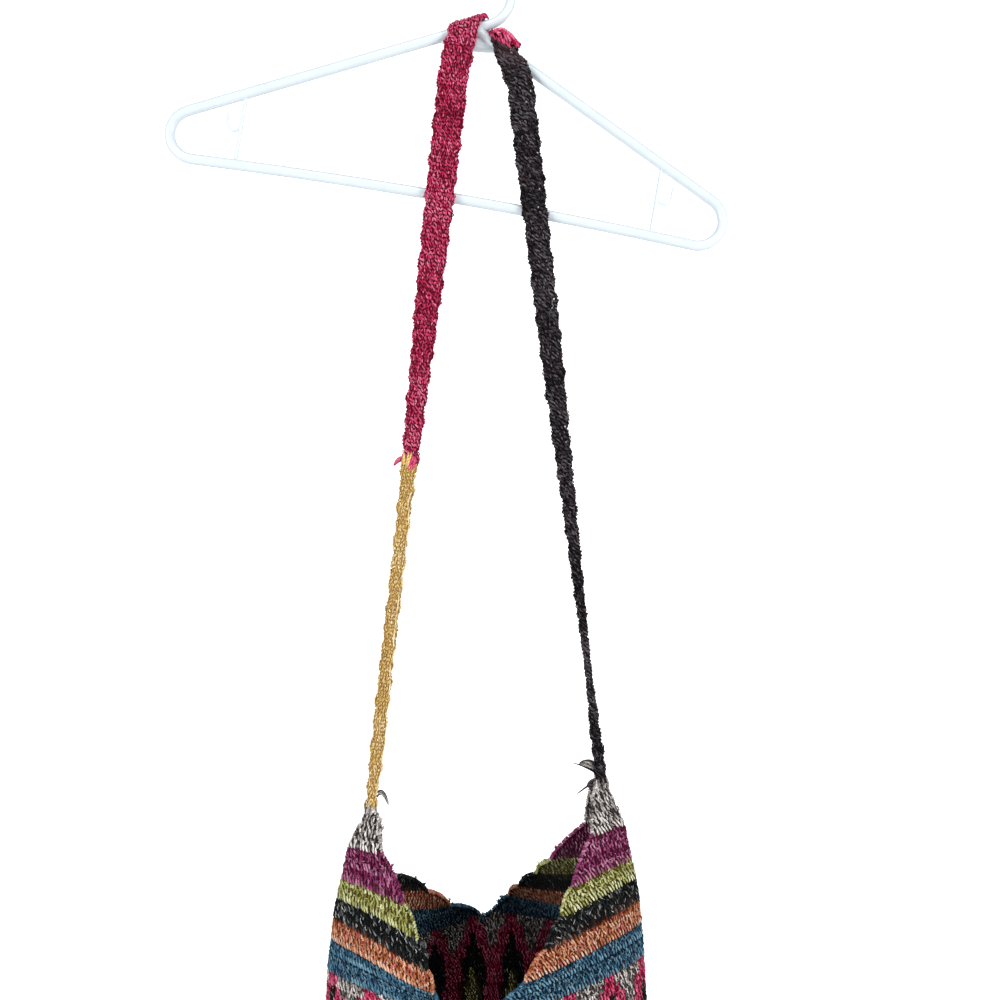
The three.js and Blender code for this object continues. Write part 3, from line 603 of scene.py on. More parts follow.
def chart(w, row):
    """The yarn's number at w in a row. x is the distance from the nearest chevron's middle, in stitches."""
    pull, place, width = DRAWN_ASIDE
    pulled = w + pull * np.exp(-((w - place) / width) ** 2)
    repeat = ROUND / REPEATS
    x = np.abs((pulled - FLAME_PLACE + repeat / 2) % repeat - repeat / 2) / (ROUND / STITCHES)
    depth = np.minimum(-1 - row, FLAME_ROWS + row)
    half, narrow, rows = CHEVRON
    yarn = np.full(np.shape(w), CODES.index("rose"))
    yarn = np.where(x > half - narrow * (1 - depth / rows), CODES.index("grey"), yarn)
    for name, start, gain, most in INNER_FLAMES:
        yarn = np.where(x < np.clip((depth - start) * gain, 0, most), CODES.index(name), yarn)
    for name, low, high in BANDS + LOWER_BANDS:
        yarn = np.where((row >= low) & (row < high), CODES.index(name), yarn)
    return yarn


def stitch_table():
    """Every stitch: its w, its row, the width of its place in w and how far the cloth is stretched there.
    Rounds lean a little, and near the base they have fewer stitches as the round gets shorter."""
    rounds = []
    samples = np.linspace(-ROUND / 2, ROUND / 2, ROUND_SAMPLES)
    for row in range(-int((BASE_REACH - FOOT) / ROW) + 1, TOP_ROW):
        rise = (row + 0.5) * ROW
        ring, _ = lay(bag_cloth, samples, np.full(ROUND_SAMPLES, rise), 0 * samples)
        length = np.linalg.norm(np.diff(ring, axis=0), axis=-1).sum()
        count = STITCHES if rise > SHAPED_RISE else max(FEWEST, int(round(length / BASE_STITCH)))
        pitch = ROUND / count
        w = -ROUND / 2 + pitch * (np.arange(count) + 0.5 + ROUND_LEAN * row)
        rounds.append((w, np.full(count, row), np.full(count, pitch)))
    w, row, pitch = (np.concatenate(column) for column in zip(*rounds))
    w = (w + ROUND / 2) % ROUND - ROUND / 2
    kept = (row + KEPT_SHARE) * ROW < mouth_rise(w)
    w, row, pitch = w[kept], row[kept], pitch[kept]
    rise = (row + 0.5) * ROW
    here, there = (lay(bag_cloth, w + step, rise, 0 * w)[0] for step in (-0.5, 0.5))
    stretch = np.linalg.norm(there - here, axis=-1) * pitch / (ROUND / STITCHES)
    return {"w": w, "row": row, "pitch": pitch, "stretch": np.clip(stretch, *STRETCH_LIMITS),
            "yarn": chart(w, row)}


stitches = stitch_table()
print(len(stitches["w"]), "stitches in", len(set(stitches["row"].tolist())), "rounds")

# %% [markdown]
# ## The stitches of the bag
# Each stitch shows two legs of yarn side by side, and over their tops a short loop that lies along the
# round. The rounds are drawn aside by the weight of the bag, so the legs lean: much on the left of the
# front and little on its right. The lowest round of a band hangs over the band below, as it does on
# the real bag, where the hook went in a row lower. The inside shows the same legs without the loops.

# %% Strands for every stitch, outside and inside
# rows whose legs hang over the row below, the first row with divided legs and the first seen inside
MIDDLE_ROW = 3
LONG_ROWS = [low for _, low, _ in BANDS] + [MIDDLE_ROW]
FINE_ROW, SEEN_INSIDE_ROW = -6, -16
# painted shade between stitches, as a share of the yarn's dark tone, and how much lighter the inside is
STRAND_GAP_SHADE, INSIDE_LIGHT = 0.4, 0.35
# a leg in stitches aside and rows up: distance from its pair, its halves' places, half its height
LEG_APART, TIER_ASIDE, TIER_UP = 0.25, 0.12, 0.26
HALF_REACH, WHOLE_REACH, WHOLE_THICK = 0.42, 0.6, 1.35
# its radius, the share of it at the ends, and its lift at the ends and in the middle, in millimetres
STRAND, LEG_THIN, LEG_LIFT, LEG_ARCH = 0.66, 0.45, 0.1, 0.6
# how much of the lean the upper half has
UPPER_LEAN = 0.6
# what differs in the long lower half of a leg, and in an upper half that is covered by one: the long
# half is lighter, a painted highlight, and the covered half darker, painted shade
LONG = {"low": -1.0, "high": 0.22, "lean": 0.5, "aside": 0.4, "arch": 0.2, "thick": 1.12, "light": 0.3}
COVERED = {"arch": -0.35, "light": -0.7}
# its unevenness by chance
LEG_UNEVEN = {"end": 0.06, "lean": 0.27, "aside": 0.09, "arch": 0.16, "thick": 0.12}
# the loop over a stitch, the painted shadow in a gap and the pale fibre, which on most yarns is also
# a painted highlight, each with its unevenness
LOOP = {"radius": 0.5, "thin": 0.4, "length": 0.8, "slant": 0.2, "bow": 0.1, "lift": 0.3, "arch": 0.55}
LOOP_UNEVEN = {"length": 0.15, "aside": 0.15, "slant": 0.3, "rise": 0.12, "arch": 0.15, "thick": 0.12}
GAP_SHADOW = {"radius": 0.5, "thin": 0.5, "length": 0.75, "place": -0.46, "lift": 0.85, "arch": 0.3}
GAP_SHADOW_UNEVEN = {"length": 0.15, "aside": 0.1, "rise": 0.05, "thick": 0.15}
FIBRE = {"radius": 0.34, "length": 0.62, "lift": 0.7, "arch": 0.6, "blunt": 0.08,
         "dim": 0.25, "bright": 1.15}
FIBRE_UNEVEN = {"length": 0.2, "lean": 0.6, "rise": 0.3, "lift": 0.08, "thick": 0.15}
# powers of half a sine wave: how a strand arches, how it swells, and both with blunter ends
ARCH_CURVE, SWELL_CURVE, BLUNT_CURVE, FIBRE_CURVE = 0.7, 0.6, 0.5, 0.4
# distance around and how far a leg goes to the right while it rises by one
LEAN_PLACES = (-282, -170, -60, 60, 170, 282)
LEAN_OF_LEGS = (-0.4, -0.6, -0.6, -0.2, -0.2, -0.4)
# slow dye changes: size, length around and share of the row's phase
DYE_WAVES = ((0.3, 19, 1.0), (0.25, 53, -1.7))
ROW_PHASE = 2.399


def jitter(count, size, axes=1):
    """Seeded unevenness, as wide as size: one value for each strand, and axes of length one after it."""
    return size * chance.standard_normal((count,) + (1,) * axes)


def plump(t, thin, curve=SWELL_CURVE):
    """Thickness along a strand: thin at both ends and one in the middle, by a power of half a sine wave."""
    return thin + (1 - thin) * np.sin(np.pi * t) ** curve


def chosen(table, mask):
    """The rows of a table that a mask keeps or that a list of places names."""
    return {key: column[mask] for key, column in table.items()}


def as_columns(table):
    """How many stitches a table has, then their w, row, pitch and stretch as columns."""
    return len(table["w"]), *(table[key][:, None] for key in ("w", "row", "pitch", "stretch"))


def drift_of(w, row):
    """Slow dye changes along each round: two waves around the bag, with a different phase in each row."""
    phase = ROW_PHASE * row
    return sum(size * np.sin(w / length + share * phase) for size, length, share in DYE_WAVES)


def legs(table, side, face, tier, stations, sides, yarn):
    """One leg of each stitch, side -1 or 1 of its middle, face 1 outside or -1 inside: a straight leaning
    line with a lift of half a sine wave. tier -1 is the lower half of the leg, 1 its upper half and 0 the
    whole leg. In a long row the lower half is long, hangs down and is lighter, a painted highlight, and
    what it covers is darker, painted shade."""
    count, w, row, pitch, stretch = as_columns(table)
    t = np.linspace(0, 1, stations)[None]
    foot = np.isin(row, LONG_ROWS) & (face > 0) & (tier < 0)
    covered = np.isin(row + 1, LONG_ROWS) & (face > 0) & (tier > 0)
    reach = HALF_REACH if tier else WHOLE_REACH
    low = np.where(foot, LONG["low"], TIER_UP * tier - reach) + jitter(count, LEG_UNEVEN["end"])
    high = np.where(foot, LONG["high"], TIER_UP * tier + reach) + jitter(count, LEG_UNEVEN["end"])
    tall = low + (high - low) * t
    lean = face * np.interp(w, LEAN_PLACES, LEAN_OF_LEGS) * (UPPER_LEAN if tier > 0 else 1)
    lean = lean + np.where(foot, LONG["lean"], 1) * jitter(count, LEG_UNEVEN["lean"])
    aside = np.where(foot, LONG["aside"], 1) * jitter(count, LEG_UNEVEN["aside"])
    aside = LEG_APART * side + TIER_ASIDE * tier + aside
    around = w + pitch * aside + lean * ROW * (tall - (low + high) / 2)
    arch = LEG_ARCH + LONG["arch"] * foot + COVERED["arch"] * covered
    arch = arch + jitter(count, LEG_UNEVEN["arch"])
    lift = face * (LEG_LIFT + arch * np.sin(np.pi * t) ** ARCH_CURVE)
    path, normal = lay(bag_cloth, around, (row + 0.5 + tall) * ROW, lift)
    radius = STRAND * stretch * plump(t, LEG_THIN) * (1 + jitter(count, LEG_UNEVEN["thick"]))
    radius = radius * np.where(foot, LONG["thick"], 1 if tier else WHOLE_THICK)
    # painted highlight on the long lower halves and painted shade on the halves they cover
    dye_and_shade = drift_of(w, row) + LONG["light"] * foot + COVERED["light"] * covered
    dye_and_shade = dye_and_shade + (INSIDE_LIGHT if face < 0 else 0)
    return spindles(path, normal, radius, strand_tints(yarn, count, stations, dye_and_shade), sides)


def loops(table, stations, sides, yarn):
    """The loop over the top of each stitch: a short strand along the round, slanted by chance."""
    count, w, row, pitch, stretch = as_columns(chosen(table, ~np.isin(table["row"] + 1, LONG_ROWS)))
    t = np.linspace(0, 1, stations)[None]
    swell = np.sin(np.pi * t)
    length = LOOP["length"] + jitter(count, LOOP_UNEVEN["length"])
    around = w + pitch * (length * (t - 0.5) + jitter(count, LOOP_UNEVEN["aside"]))
    slant = (LOOP["slant"] + jitter(count, LOOP_UNEVEN["slant"])) * (t - 0.5)
    rise = (row + 1 + slant + LOOP["bow"] * swell + jitter(count, LOOP_UNEVEN["rise"])) * ROW
    arch = LOOP["arch"] + jitter(count, LOOP_UNEVEN["arch"])
    path, normal = lay(bag_cloth, around, rise, LOOP["lift"] + arch * swell ** ARCH_CURVE)
    radius = LOOP["radius"] * stretch * plump(t, LOOP["thin"]) * (1 + jitter(count, LOOP_UNEVEN["thick"]))
    return spindles(path, normal, radius, strand_tints(yarn, count, stations, drift_of(w, row)), sides)


def gap_shadows(table, yarn, stations=4, sides=3):
    """Short dark strands along the round, in the gap under a long row: painted shadow."""
    count, w, row, pitch, _ = as_columns(table)
    t = np.linspace(0, 1, stations)[None]
    length = GAP_SHADOW["length"] + jitter(count, GAP_SHADOW_UNEVEN["length"])
    around = w + pitch * (length * (t - 0.5) + jitter(count, GAP_SHADOW_UNEVEN["aside"]))
    rise = (row + GAP_SHADOW["place"] + jitter(count, GAP_SHADOW_UNEVEN["rise"])) * ROW
    path, normal = lay(bag_cloth, around, rise, GAP_SHADOW["lift"] + GAP_SHADOW["arch"] * np.sin(np.pi * t))
    radius = GAP_SHADOW["radius"] * plump(t, GAP_SHADOW["thin"], 1) * (1 + jitter(count, GAP_SHADOW_UNEVEN["thick"]))
    # painted shadow: the yarn's dark tone, darker still
    tint = np.broadcast_to(linear(YARNS[yarn][0]) * STRAND_GAP_SHADE, (count, stations, 3))
    return spindles(path, normal, radius, tint, sides)


def fibres_and_highlights(table, share, tone, stations=4, sides=3):
    """Thin pale fibres that lie on some of the legs, slanted by chance. On most yarns they also stand for
    thin highlights along the strands, painted highlight.
    """
    place = np.arange(len(table["w"])).repeat(math.ceil(share))
    table = chosen(table, place[chance.random(len(place)) < share / math.ceil(share)])
    count, w, row, pitch, _ = as_columns(table)
    t = np.linspace(0, 1, stations)[None]
    tall = (FIBRE["length"] + jitter(count, FIBRE_UNEVEN["length"])) * (t - 0.5)
    lean = np.interp(w, LEAN_PLACES, LEAN_OF_LEGS) + jitter(count, FIBRE_UNEVEN["lean"])
    around = w + pitch * chance.uniform(-0.5, 0.5, (count, 1)) + lean * ROW * tall
    rise = (row + 0.5 + tall + jitter(count, FIBRE_UNEVEN["rise"])) * ROW
    lift = FIBRE["lift"] + FIBRE["arch"] * plump(t, 0) + jitter(count, FIBRE_UNEVEN["lift"])
    path, normal = lay(bag_cloth, around, rise, lift)
    blunt = plump(np.clip(t, FIBRE["blunt"], 1 - FIBRE["blunt"]), 0, FIBRE_CURVE)
    radius = FIBRE["radius"] * blunt * (1 + jitter(count, FIBRE_UNEVEN["thick"]))
    tint = np.broadcast_to(linear(tone), (count, stations, 3))
    tint = tint * chance.uniform(FIBRE["dim"], FIBRE["bright"], (count, 1, 1))
    return spindles(path, normal, radius, tint, sides)


# share of stitches with a pale fibre on them, and its colour. On black and charcoal these are the
# yarn's own pale flecks; on the other yarns they are loose fibres that also stand for thin highlights
# along the strands, painted highlight.
FIBRES_AND_HIGHLIGHTS = {
    "grey": (0.4, (236, 230, 226)),
    "purple": (0.4, (214, 150, 186)),
    "green": (0.3, (226, 230, 176)),
    "black": (1.5, (206, 209, 206)),
    "orange": (0.4, (246, 196, 166)),
    "blue": (0.4, (160, 196, 210)),
    "rose": (0.4, (226, 150, 170)),
    "charcoal": (0.2, (130, 126, 128)),
}


# side and tier of the four halves of a stitch's legs
TIERS = ((-1, -1), (1, -1), (-1, 1), (1, 1))
# stations and sides of strands that are seen well, seen little, and lower down
NEAR_STRAND, FAR_STRAND, LOWER_STRAND = (5, 5), (4, 3), (4, 4)


def bag_strands(yarn):
    """The strands of all stitches of one yarn. Where the picture shows them each leg is two short strands
    and has its loop, and lower down it is one strand. The mouth shows more rows inside than outside."""
    own = stitches["yarn"] == CODES.index(yarn)
    upper = chosen(stitches, own & (stitches["row"] >= FINE_ROW))
    lower = chosen(stitches, own & (stitches["row"] < FINE_ROW))
    parts = []
    if len(upper["w"]):
        for side, tier in TIERS:
            parts.append(legs(upper, side, 1, tier, *NEAR_STRAND, yarn))
            parts.append(legs(upper, side, -1, tier, *FAR_STRAND, yarn))
        parts.append(loops(upper, *FAR_STRAND, yarn))
        if yarn == "blue":
            # painted shadow in the gap under the blue band's middle row
            parts.append(gap_shadows(chosen(upper, upper["row"] == MIDDLE_ROW), yarn))
    if len(lower["w"]):
        shape = FAR_STRAND if yarn == "charcoal" else LOWER_STRAND
        for side in (-1, 1):
            parts.append(legs(lower, side, 1, 0, *shape, yarn))
        hidden = chosen(lower, lower["row"] < SEEN_INSIDE_ROW)
        parts.append(legs(hidden, 1, -1, 0, *FAR_STRAND, yarn))
        seen = chosen(lower, lower["row"] >= SEEN_INSIDE_ROW)
        if len(seen["w"]):
            for side, tier in TIERS:
                parts.append(legs(seen, side, -1, tier, *FAR_STRAND, yarn))
    share, tone = FIBRES_AND_HIGHLIGHTS[yarn]
    parts.append(fibres_and_highlights(upper if len(upper["w"]) else lower, share, tone))
    return parts


strands_by_yarn = {yarn: bag_strands(yarn) for yarn in FIBRES_AND_HIGHLIGHTS}
print({yarn: sum(len(p["faces"]) for p in parts) for yarn, parts in strands_by_yarn.items()})

# %% [markdown]
# ## The edge of the mouth
# At the mouth the rows turn back, and each turn wraps yarn over the edge. So the edge is a row of short
# loops from the inside to the outside, a little slanted, each in the yarn of the band it belongs to.

# %% Loops over the mouth's edge
EDGE_PITCH, EDGE_SAMPLES, EDGE_STATIONS, EDGE_SIDES = 2.1, 6000, 7, 6
BELOW_EDGE = 2.0
# a loop's step along the edge, half its depth, its arch, how far it sinks in, its radius
EDGE = {"along": 3.4, "half": 1.75, "arch": 1.5, "sink": 1.3, "radius": 0.9, "thin": 0.6}
EDGE_UNEVEN = {"size": 0.1, "along": 0.3}


def edge_loops():
    """Places every few millimetres along the edge, each with the edge's direction, the cloth's normal and
    the direction out of the cloth, which is the one across both."""
    w = np.linspace(-ROUND / 2, ROUND / 2, EDGE_SAMPLES)
    rise = mouth_rise(w)
    line, normal = lay(bag_cloth, w, rise, 0 * w)
    run = walked(line)
    at = np.arange(0, run[-1], EDGE_PITCH)
    pick = np.clip(np.searchsorted(run, at), 1, len(w) - 2)
    ahead = unit(line[pick + 1] - line[pick - 1])
    out = np.cross(normal[pick], ahead)
    below, _ = lay(bag_cloth, w[pick], rise[pick] - BELOW_EDGE, 0 * at)
    out *= np.where((out * (line[pick] - below)).sum(-1) > 0, 1, -1)[:, None]
    row = np.clip(np.floor(rise[pick] / ROW).astype(int), 0, TOP_ROW - 1)
    return line[pick], normal[pick], ahead, out, chart(w[pick], row)


def add_edge():
    """Each loop: an arch out of the cloth on its way from inside to outside, with a step along the
    edge."""
    place, normal, ahead, out, yarns = edge_loops()
    t = np.linspace(0, 1, EDGE_STATIONS)[None, :, None]
    over, through = np.sin(np.pi * t), np.cos(np.pi * t)
    for yarn, _, _ in reversed(BANDS):
        own = yarns == CODES.index(yarn)
        count = int(own.sum())
        size = 1 + jitter(count, EDGE_UNEVEN["size"], 2)
        step = EDGE["along"] * (t - 0.5) + jitter(count, EDGE_UNEVEN["along"], 2)
        path = (place[own, None] + ahead[own, None] * step
                - normal[own, None] * EDGE["half"] * through * size
                + out[own, None] * (EDGE["arch"] * over - EDGE["sink"]) * size)
        face = out[own, None] * over - normal[own, None] * through
        radius = EDGE["radius"] * plump(t[..., 0], EDGE["thin"], BLUNT_CURVE) * size[..., 0]
        tint = strand_tints(yarn, count, EDGE_STATIONS)
        strands_by_yarn[yarn].append(spindles(path, face, radius, tint, EDGE_SIDES))
    return len(place)


print(add_edge(), "loops along the edge")

# %% [markdown]
# ## The backing cloth, dark as painted shade
# Between the strands a dark ground shows: the shade in the depth of the stitches, painted as the sheet's
# colour. It is one closed sheet, a millimetre thick, that follows the same map from the mouth down and
# across the base. It also stands for the imported bag.

# %% Backing sheet of the bag, in painted shade
SHEET_COLUMNS, SHEET_ROWS, BASE_ROWS = 188, 60, 7
SHEET_HALF, SHEET_BELOW_EDGE = 0.5, 0.9
BASE_SPAN = 0.97


def bag_shade_sheet():
    """Rings from the base's middle up the outside to the mouth, over it and down the inside again."""
    w = -ROUND / 2 + ROUND * np.arange(SHEET_COLUMNS) / SHEET_COLUMNS
    top = mouth_rise(w) - SHEET_BELOW_EDGE
    base = np.linspace(FOOT - BASE_SPAN * BASE_REACH, FOOT, BASE_ROWS)[:-1, None]
    wall = FOOT + (top - FOOT) * np.linspace(0, 1, SHEET_ROWS)[:, None]
    rise = np.concatenate([np.repeat(base, SHEET_COLUMNS, 1), wall])
    w = np.broadcast_to(w, rise.shape)
    outer, inner = (lay(bag_cloth, w, rise, np.full(rise.shape, lift))[0]
                    for lift in (SHEET_HALF, -SHEET_HALF))
    rings = np.concatenate([outer, inner[::-1]])
    yarn = chart(w, np.floor(rise / ROW).astype(int))
    # painted shade: each band's dark tone, darker still, stands for the shade between the strands
    tint = np.array([linear(YARNS[name][0]) * STRAND_GAP_SHADE for name in CODES])[yarn]
    tint = np.concatenate([tint, tint[::-1]])
    size = rings.shape[:2]
    faces = np.concatenate([ring_faces(*size), pole_faces(*size)])
    points = np.concatenate([rings.reshape(-1, 3), rings[0].mean(0)[None], rings[-1].mean(0)[None]])
    tint = np.concatenate([tint.reshape(-1, 3), tint[0, :1], tint[-1, :1]])
    return skin_part(points, faces, tint)


bag_sheet = put_mesh("bag_shade_sheet", [bag_shade_sheet()], FINISHES["blue"])
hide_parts("bag_body")
for yarn, parts in strands_by_yarn.items():
    put_mesh(f"bag_{yarn}", parts, FINISHES[yarn])

# %% [markdown]
# ## The strap
# The strap is three lengths of crochet: gold and rose on the left, charcoal on the right. It is broad
# and flat over the hanger and rolls up into a thick cord near the peaks. Its line and its section come
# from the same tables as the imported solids, and it gets a map of its own: u is the share of the way
# around its section and v the distance along it.

# %% Tables of the strap, in millimetres and degrees
LEFT_LEG = {"top_x": -16.2, "foot_x": -77.4, "bar_y": -6.5, "peak_y": -6.5,
            "top": 72, "bar": 185, "foot": 612.4}
RIGHT_LEG = {"top_x": 30.5, "foot_x": 91.6, "bar_y": -6.5, "peak_y": 2.2,
             "top": 77, "bar": 195, "foot": 596.2}
# distance below the hook's seat, width, thickness, twist
GOLD_ROWS = ((613.4, 7.6, 6.6, 0), (600, 7.8, 6.6, 4), (582, 9.6, 7, 12), (560, 9.8, 7, 20),
             (500, 10, 7, -12), (440, 10, 7, 14), (400, 10.4, 6.6, 0), (361.2, 11.6, 6, 0))
ROSE_ROWS = ((360.9, 12, 5.8, 0), (335, 14.4, 5, 0), (290, 16.6, 4.2, 0), (240, 20, 3.6, 0),
             (180, 22.2, 3.6, 0), (120, 23, 3.6, 0), (76, 23.4, 3.6, 0))
CHARCOAL_ROWS = ((84, 20.6, 4, 0), (130, 20.4, 3.6, 0), (200, 18.8, 3.6, 0), (270, 17.6, 3.8, 0),
                 (330, 14.4, 4.6, 0), (390, 11.2, 5.4, 12), (440, 9.6, 5.6, 35), (490, 8.8, 5.4, 75),
                 (530, 8.6, 5.2, 110), (565, 8.8, 6, 160), (597.2, 9.4, 7, 180))
# arm (-1 left, 1 right, 0 behind the neck), distance along it, place around it, slant of the width,
# width, thickness
NECK_ROWS = ((-1, 5.6, 4, 12, 24.4, 3.6), (-1, 3.2, 50, 16.25, 26.2, 3.4), (-1, -0.2, 92, 16.25, 24.6, 3.2),
             (-1, -0.6, 135, 17, 20, 3.6), (-1, -1.5, 178, 32, 16, 4), (0, 0, 0, 78, 13.5, 4.6),
             (1, 19.5, 165, 120, 13.5, 4.6), (1, 25.5, 145, 142, 16, 5), (1, 28.3, 116, 144.25, 16.4, 6.4),
             (1, 28.3, 84, 144.25, 17.6, 7), (1, 28.3, 63.5, 144.25, 19.2, 6.2))
CHARCOAL_TOP_ROWS = ((1, 26.9, 46, 144.25, 23.6, 5.6), (1, 27, 21, 145, 24, 5),
                     (1, 28.5, 8, 150, 23.5, 4.6))
# the strap's place behind the neck, its gap to the tubes, and the distance of stations on a leg
BEHIND_NECK, REST_GAP, LEG_STEP = (6, 8.6, -47), 0.6, 11.0
# the hanger: tilt, slope of its arms, thickness of its tube, place of its neck
HANGER_TILT, ARM_SLOPE, FRAME_TUBE = math.radians(9.75), math.radians(26), 7.8
NECK = np.array([-3.64, 0, -41.79])
# the band's section: power of its sine and cosine, points to walk along, points kept
BAND_SQUARENESS, BAND_SAMPLES, BAND_SIDES = 0.65, 241, 96
STRAP_STEP = 1.0
# how far the map runs on past a length's ends, and how deep the band lies under its strands
STRAP_OVER, STRAP_SINK = 12.0, 0.9
# creases: mean distance, then size and length of its change
CREASE_GAP, CREASE_CHANGE, CREASE_RUN = 14.5, 1.3, 17.0
# how far the edges go in and out, and shares of it by which the line and the thickness do
EDGE_WAVE, LINE_SHARE, THICK_SHARE = 0.55, 0.6, 0.3
print(len(GOLD_ROWS + ROSE_ROWS + CHARCOAL_ROWS), "rows for the straight legs,",
      len(NECK_ROWS + CHARCOAL_TOP_ROWS), "around the hanger")


# %% The strap's stations and its map
def leg_stations(leg, rows, slant):
    """Rows of (x, y, z, slant, twist, width, thickness, skew) down or up a straight leg, read from its
    table."""
    table = np.array(rows, float)
    steps = math.ceil(abs(table[-1, 0] - table[0, 0]) / LEG_STEP)
    down = np.linspace(table[0, 0], table[-1, 0], steps + 1)
    width, thick, turn = (smooth_column(table[:, 0], table[:, k], down) for k in (1, 2, 3))
    x = leg["top_x"] + (down - leg["top"]) / (leg["foot"] - leg["top"]) * (leg["foot_x"] - leg["top_x"])
    fall = np.clip((down - leg["bar"]) / (leg["foot"] - leg["bar"]), 0, None)
    y = leg["bar_y"] + fall * (leg["peak_y"] - leg["bar_y"])
    none = np.zeros(len(down))
    return np.column_stack([x, y, -down, none + slant, turn, width, thick, none])


def neck_stations(rows):
    """The same columns where the strap lies around an arm of the hanger, just clear of its tube."""
    found = []
    for arm, along, place, slant, width, thick in rows:
        fall = ARM_SLOPE + arm * HANGER_TILT
        ahead = np.array([arm * math.cos(fall), 0, -math.sin(fall)])
        above = np.array([arm * math.sin(fall), 0, math.cos(fall)])
        clear = FRAME_TUBE / 2 + REST_GAP + thick / 2
        angle = math.radians(place)
        front = np.array([0, -clear * math.cos(angle), 0])
        spot = NECK + ahead * along + above * clear * math.sin(angle) + front
        found.append([*(spot if arm else BEHIND_NECK), slant, 0, width, thick, abs(arm)])
    return np.array(found, float)


def crease(v):
    """A wave along the strap, lowest where the rows draw together in a crease, at uneven distances."""
    return np.sin(2 * np.pi * v / CREASE_GAP + CREASE_CHANGE * np.sin(v / CREASE_RUN))


def strap_line(stations):
    """A smooth line through the stations, run straight on past both ends, with the directions of its width
    and thickness and half of each. The width is square to the line, or keeps its slant where skew is 1."""
    run = walked(stations[:, :3])
    v = np.arange(-STRAP_OVER, run[-1] + STRAP_OVER, STRAP_STEP)
    inside = np.clip(v, 0, run[-1])
    centre = np.stack([smooth_column(run, stations[:, k], inside) for k in range(3)], -1)
    ends = unit(stations[[1, -1], :3] - stations[[0, -2], :3])
    past = (v - inside)[:, None]
    centre = centre + past * np.where(past < 0, ends[0], ends[1])
    slant, turn, width, thick, skew = (np.interp(inside, run, stations[:, k]) for k in range(3, 8))
    ahead = unit(np.gradient(centre, axis=0))
    slant, turn = np.radians(slant), np.radians(turn)[:, None]
    wide = np.stack([np.cos(slant), 0 * slant, np.sin(slant)], -1)
    wide = unit(wide - ahead * (wide * ahead).sum(-1, keepdims=True) * (1 - skew)[:, None])
    wide = wide * np.cos(turn) + np.cross(ahead, wide) * np.sin(turn)
    return v, run[-1], centre, wide, unit(np.cross(ahead, wide)), width / 2, thick / 2


def squared_ovals(half, deep):
    """Sections x = half cos^n, y = deep sin^n, signs kept, with their points shared out evenly, and the
    girth of each."""
    angle = np.linspace(0, 2 * np.pi, BAND_SAMPLES)
    shape = (np.sign(c) * np.abs(c) ** BAND_SQUARENESS for c in (np.cos(angle), np.sin(angle)))
    x, y = (size[:, None] * flat for size, flat in zip((half, deep), shape))
    run = np.hypot(np.diff(x, axis=1), np.diff(y, axis=1)).cumsum(1)
    run = np.concatenate([np.zeros((len(half), 1)), run], 1)
    share = np.arange(BAND_SIDES) / BAND_SIDES
    x, y = (np.stack([np.interp(share * r[-1], r, row) for r, row in zip(run, rows)]) for rows in (x, y))
    return x[..., None], y[..., None], run[:, -1]


def strap_map(stations):
    """Squared ovals across the strap's line, as a cloth map. The edges go in and out every few rows."""
    v, length, centre, wide, tall, half, deep = strap_line(stations)
    wave = EDGE_WAVE * crease(v)
    centre = centre + wide * (LINE_SHARE * EDGE_WAVE * crease(v / 2 + 1))[:, None]
    x, y, girth = squared_ovals(half - STRAP_SINK + wave, deep - STRAP_SINK + THICK_SHARE * wave)
    point = centre[:, None] + wide[:, None] * x + tall[:, None] * y
    cloth = cloth_map(point, 0.0, 1 / BAND_SIDES, v[0], STRAP_STEP)
    if (cloth["normal"] * (point - centre[:, None])).sum() < 0:
        cloth["normal"] *= -1
    cloth.update(length=length, along=v, girth=girth, centre=centre)
    return cloth


strap_stations = {
    "gold": leg_stations(LEFT_LEG, GOLD_ROWS, 0),
    "rose": np.concatenate([leg_stations(LEFT_LEG, ROSE_ROWS, 0), neck_stations(NECK_ROWS)]),
    "charcoal": np.concatenate([neck_stations(CHARCOAL_TOP_ROWS),
                                leg_stations(RIGHT_LEG, CHARCOAL_ROWS, 180)]),
}
strap_cloth = {yarn: strap_map(rows) for yarn, rows in strap_stations.items()}
print({yarn: round(float(cloth["length"]), 1) for yarn, cloth in strap_cloth.items()}, "mm of strap")

# %% [markdown]
# The strap's stitches are pairs of slanted strands in rows across it, one strand of a pair higher than
# the other and lighter, a painted highlight; in the creases all are darker, painted shade. They are drawn
# on the map, and the band under them is closed at its ends and dark, as painted shade between them.

# %% Strap stitches and the bands under them
STRAP_ROW = 2.7
STRAP_STITCH = 3.3
STRAP_STRAND = {"rose": 0.58, "charcoal": 0.58, "gold": 0.66}
# painted shade between the strap's strands: the band's tone as a share of the yarn's dark tone
STRAP_GAP_SHADE = {"rose": 0.55, "charcoal": 0.4, "gold": 0.85}
# mean slant of the strands and how far it wanders, in places around for one row along
LEAN = {"rose": (-0.4, 0.5), "charcoal": (-0.75, 0.4), "gold": (0.0, 0.4)}
# a strand: distance from its pair, length, lift at its ends and middle, how much the upper one is higher
# and lighter, the lighter tone a painted highlight
PAIR = {"apart": 0.25, "length": 1.15, "lift": 0.05, "arch": 0.5, "higher": 0.14,
        "lighter": 0.2, "thin": 0.45}
PAIR_UNEVEN = {"aside": 0.08, "length": 0.18, "along": 0.12, "arch": 0.14, "thick": 0.1}
PAIR_STATIONS, PAIR_SIDES, FEWEST_AROUND, ROW_SHIFT = 5, 4, 5, 0.37
# dye changes along the strap: size and length, then where a crease starts to darken and how much, as
# painted shade
STRAP_DYE = ((0.25, 23), (0.2, 7))
CREASE_START, CREASE_SHADE = 0.6, 0.9
# how far the charcoal's front is worked in rose, from which place around and over what share
ROSE_REACH, ROSE_FROM, ROSE_OVER = 6.3, 0.5, 0.14
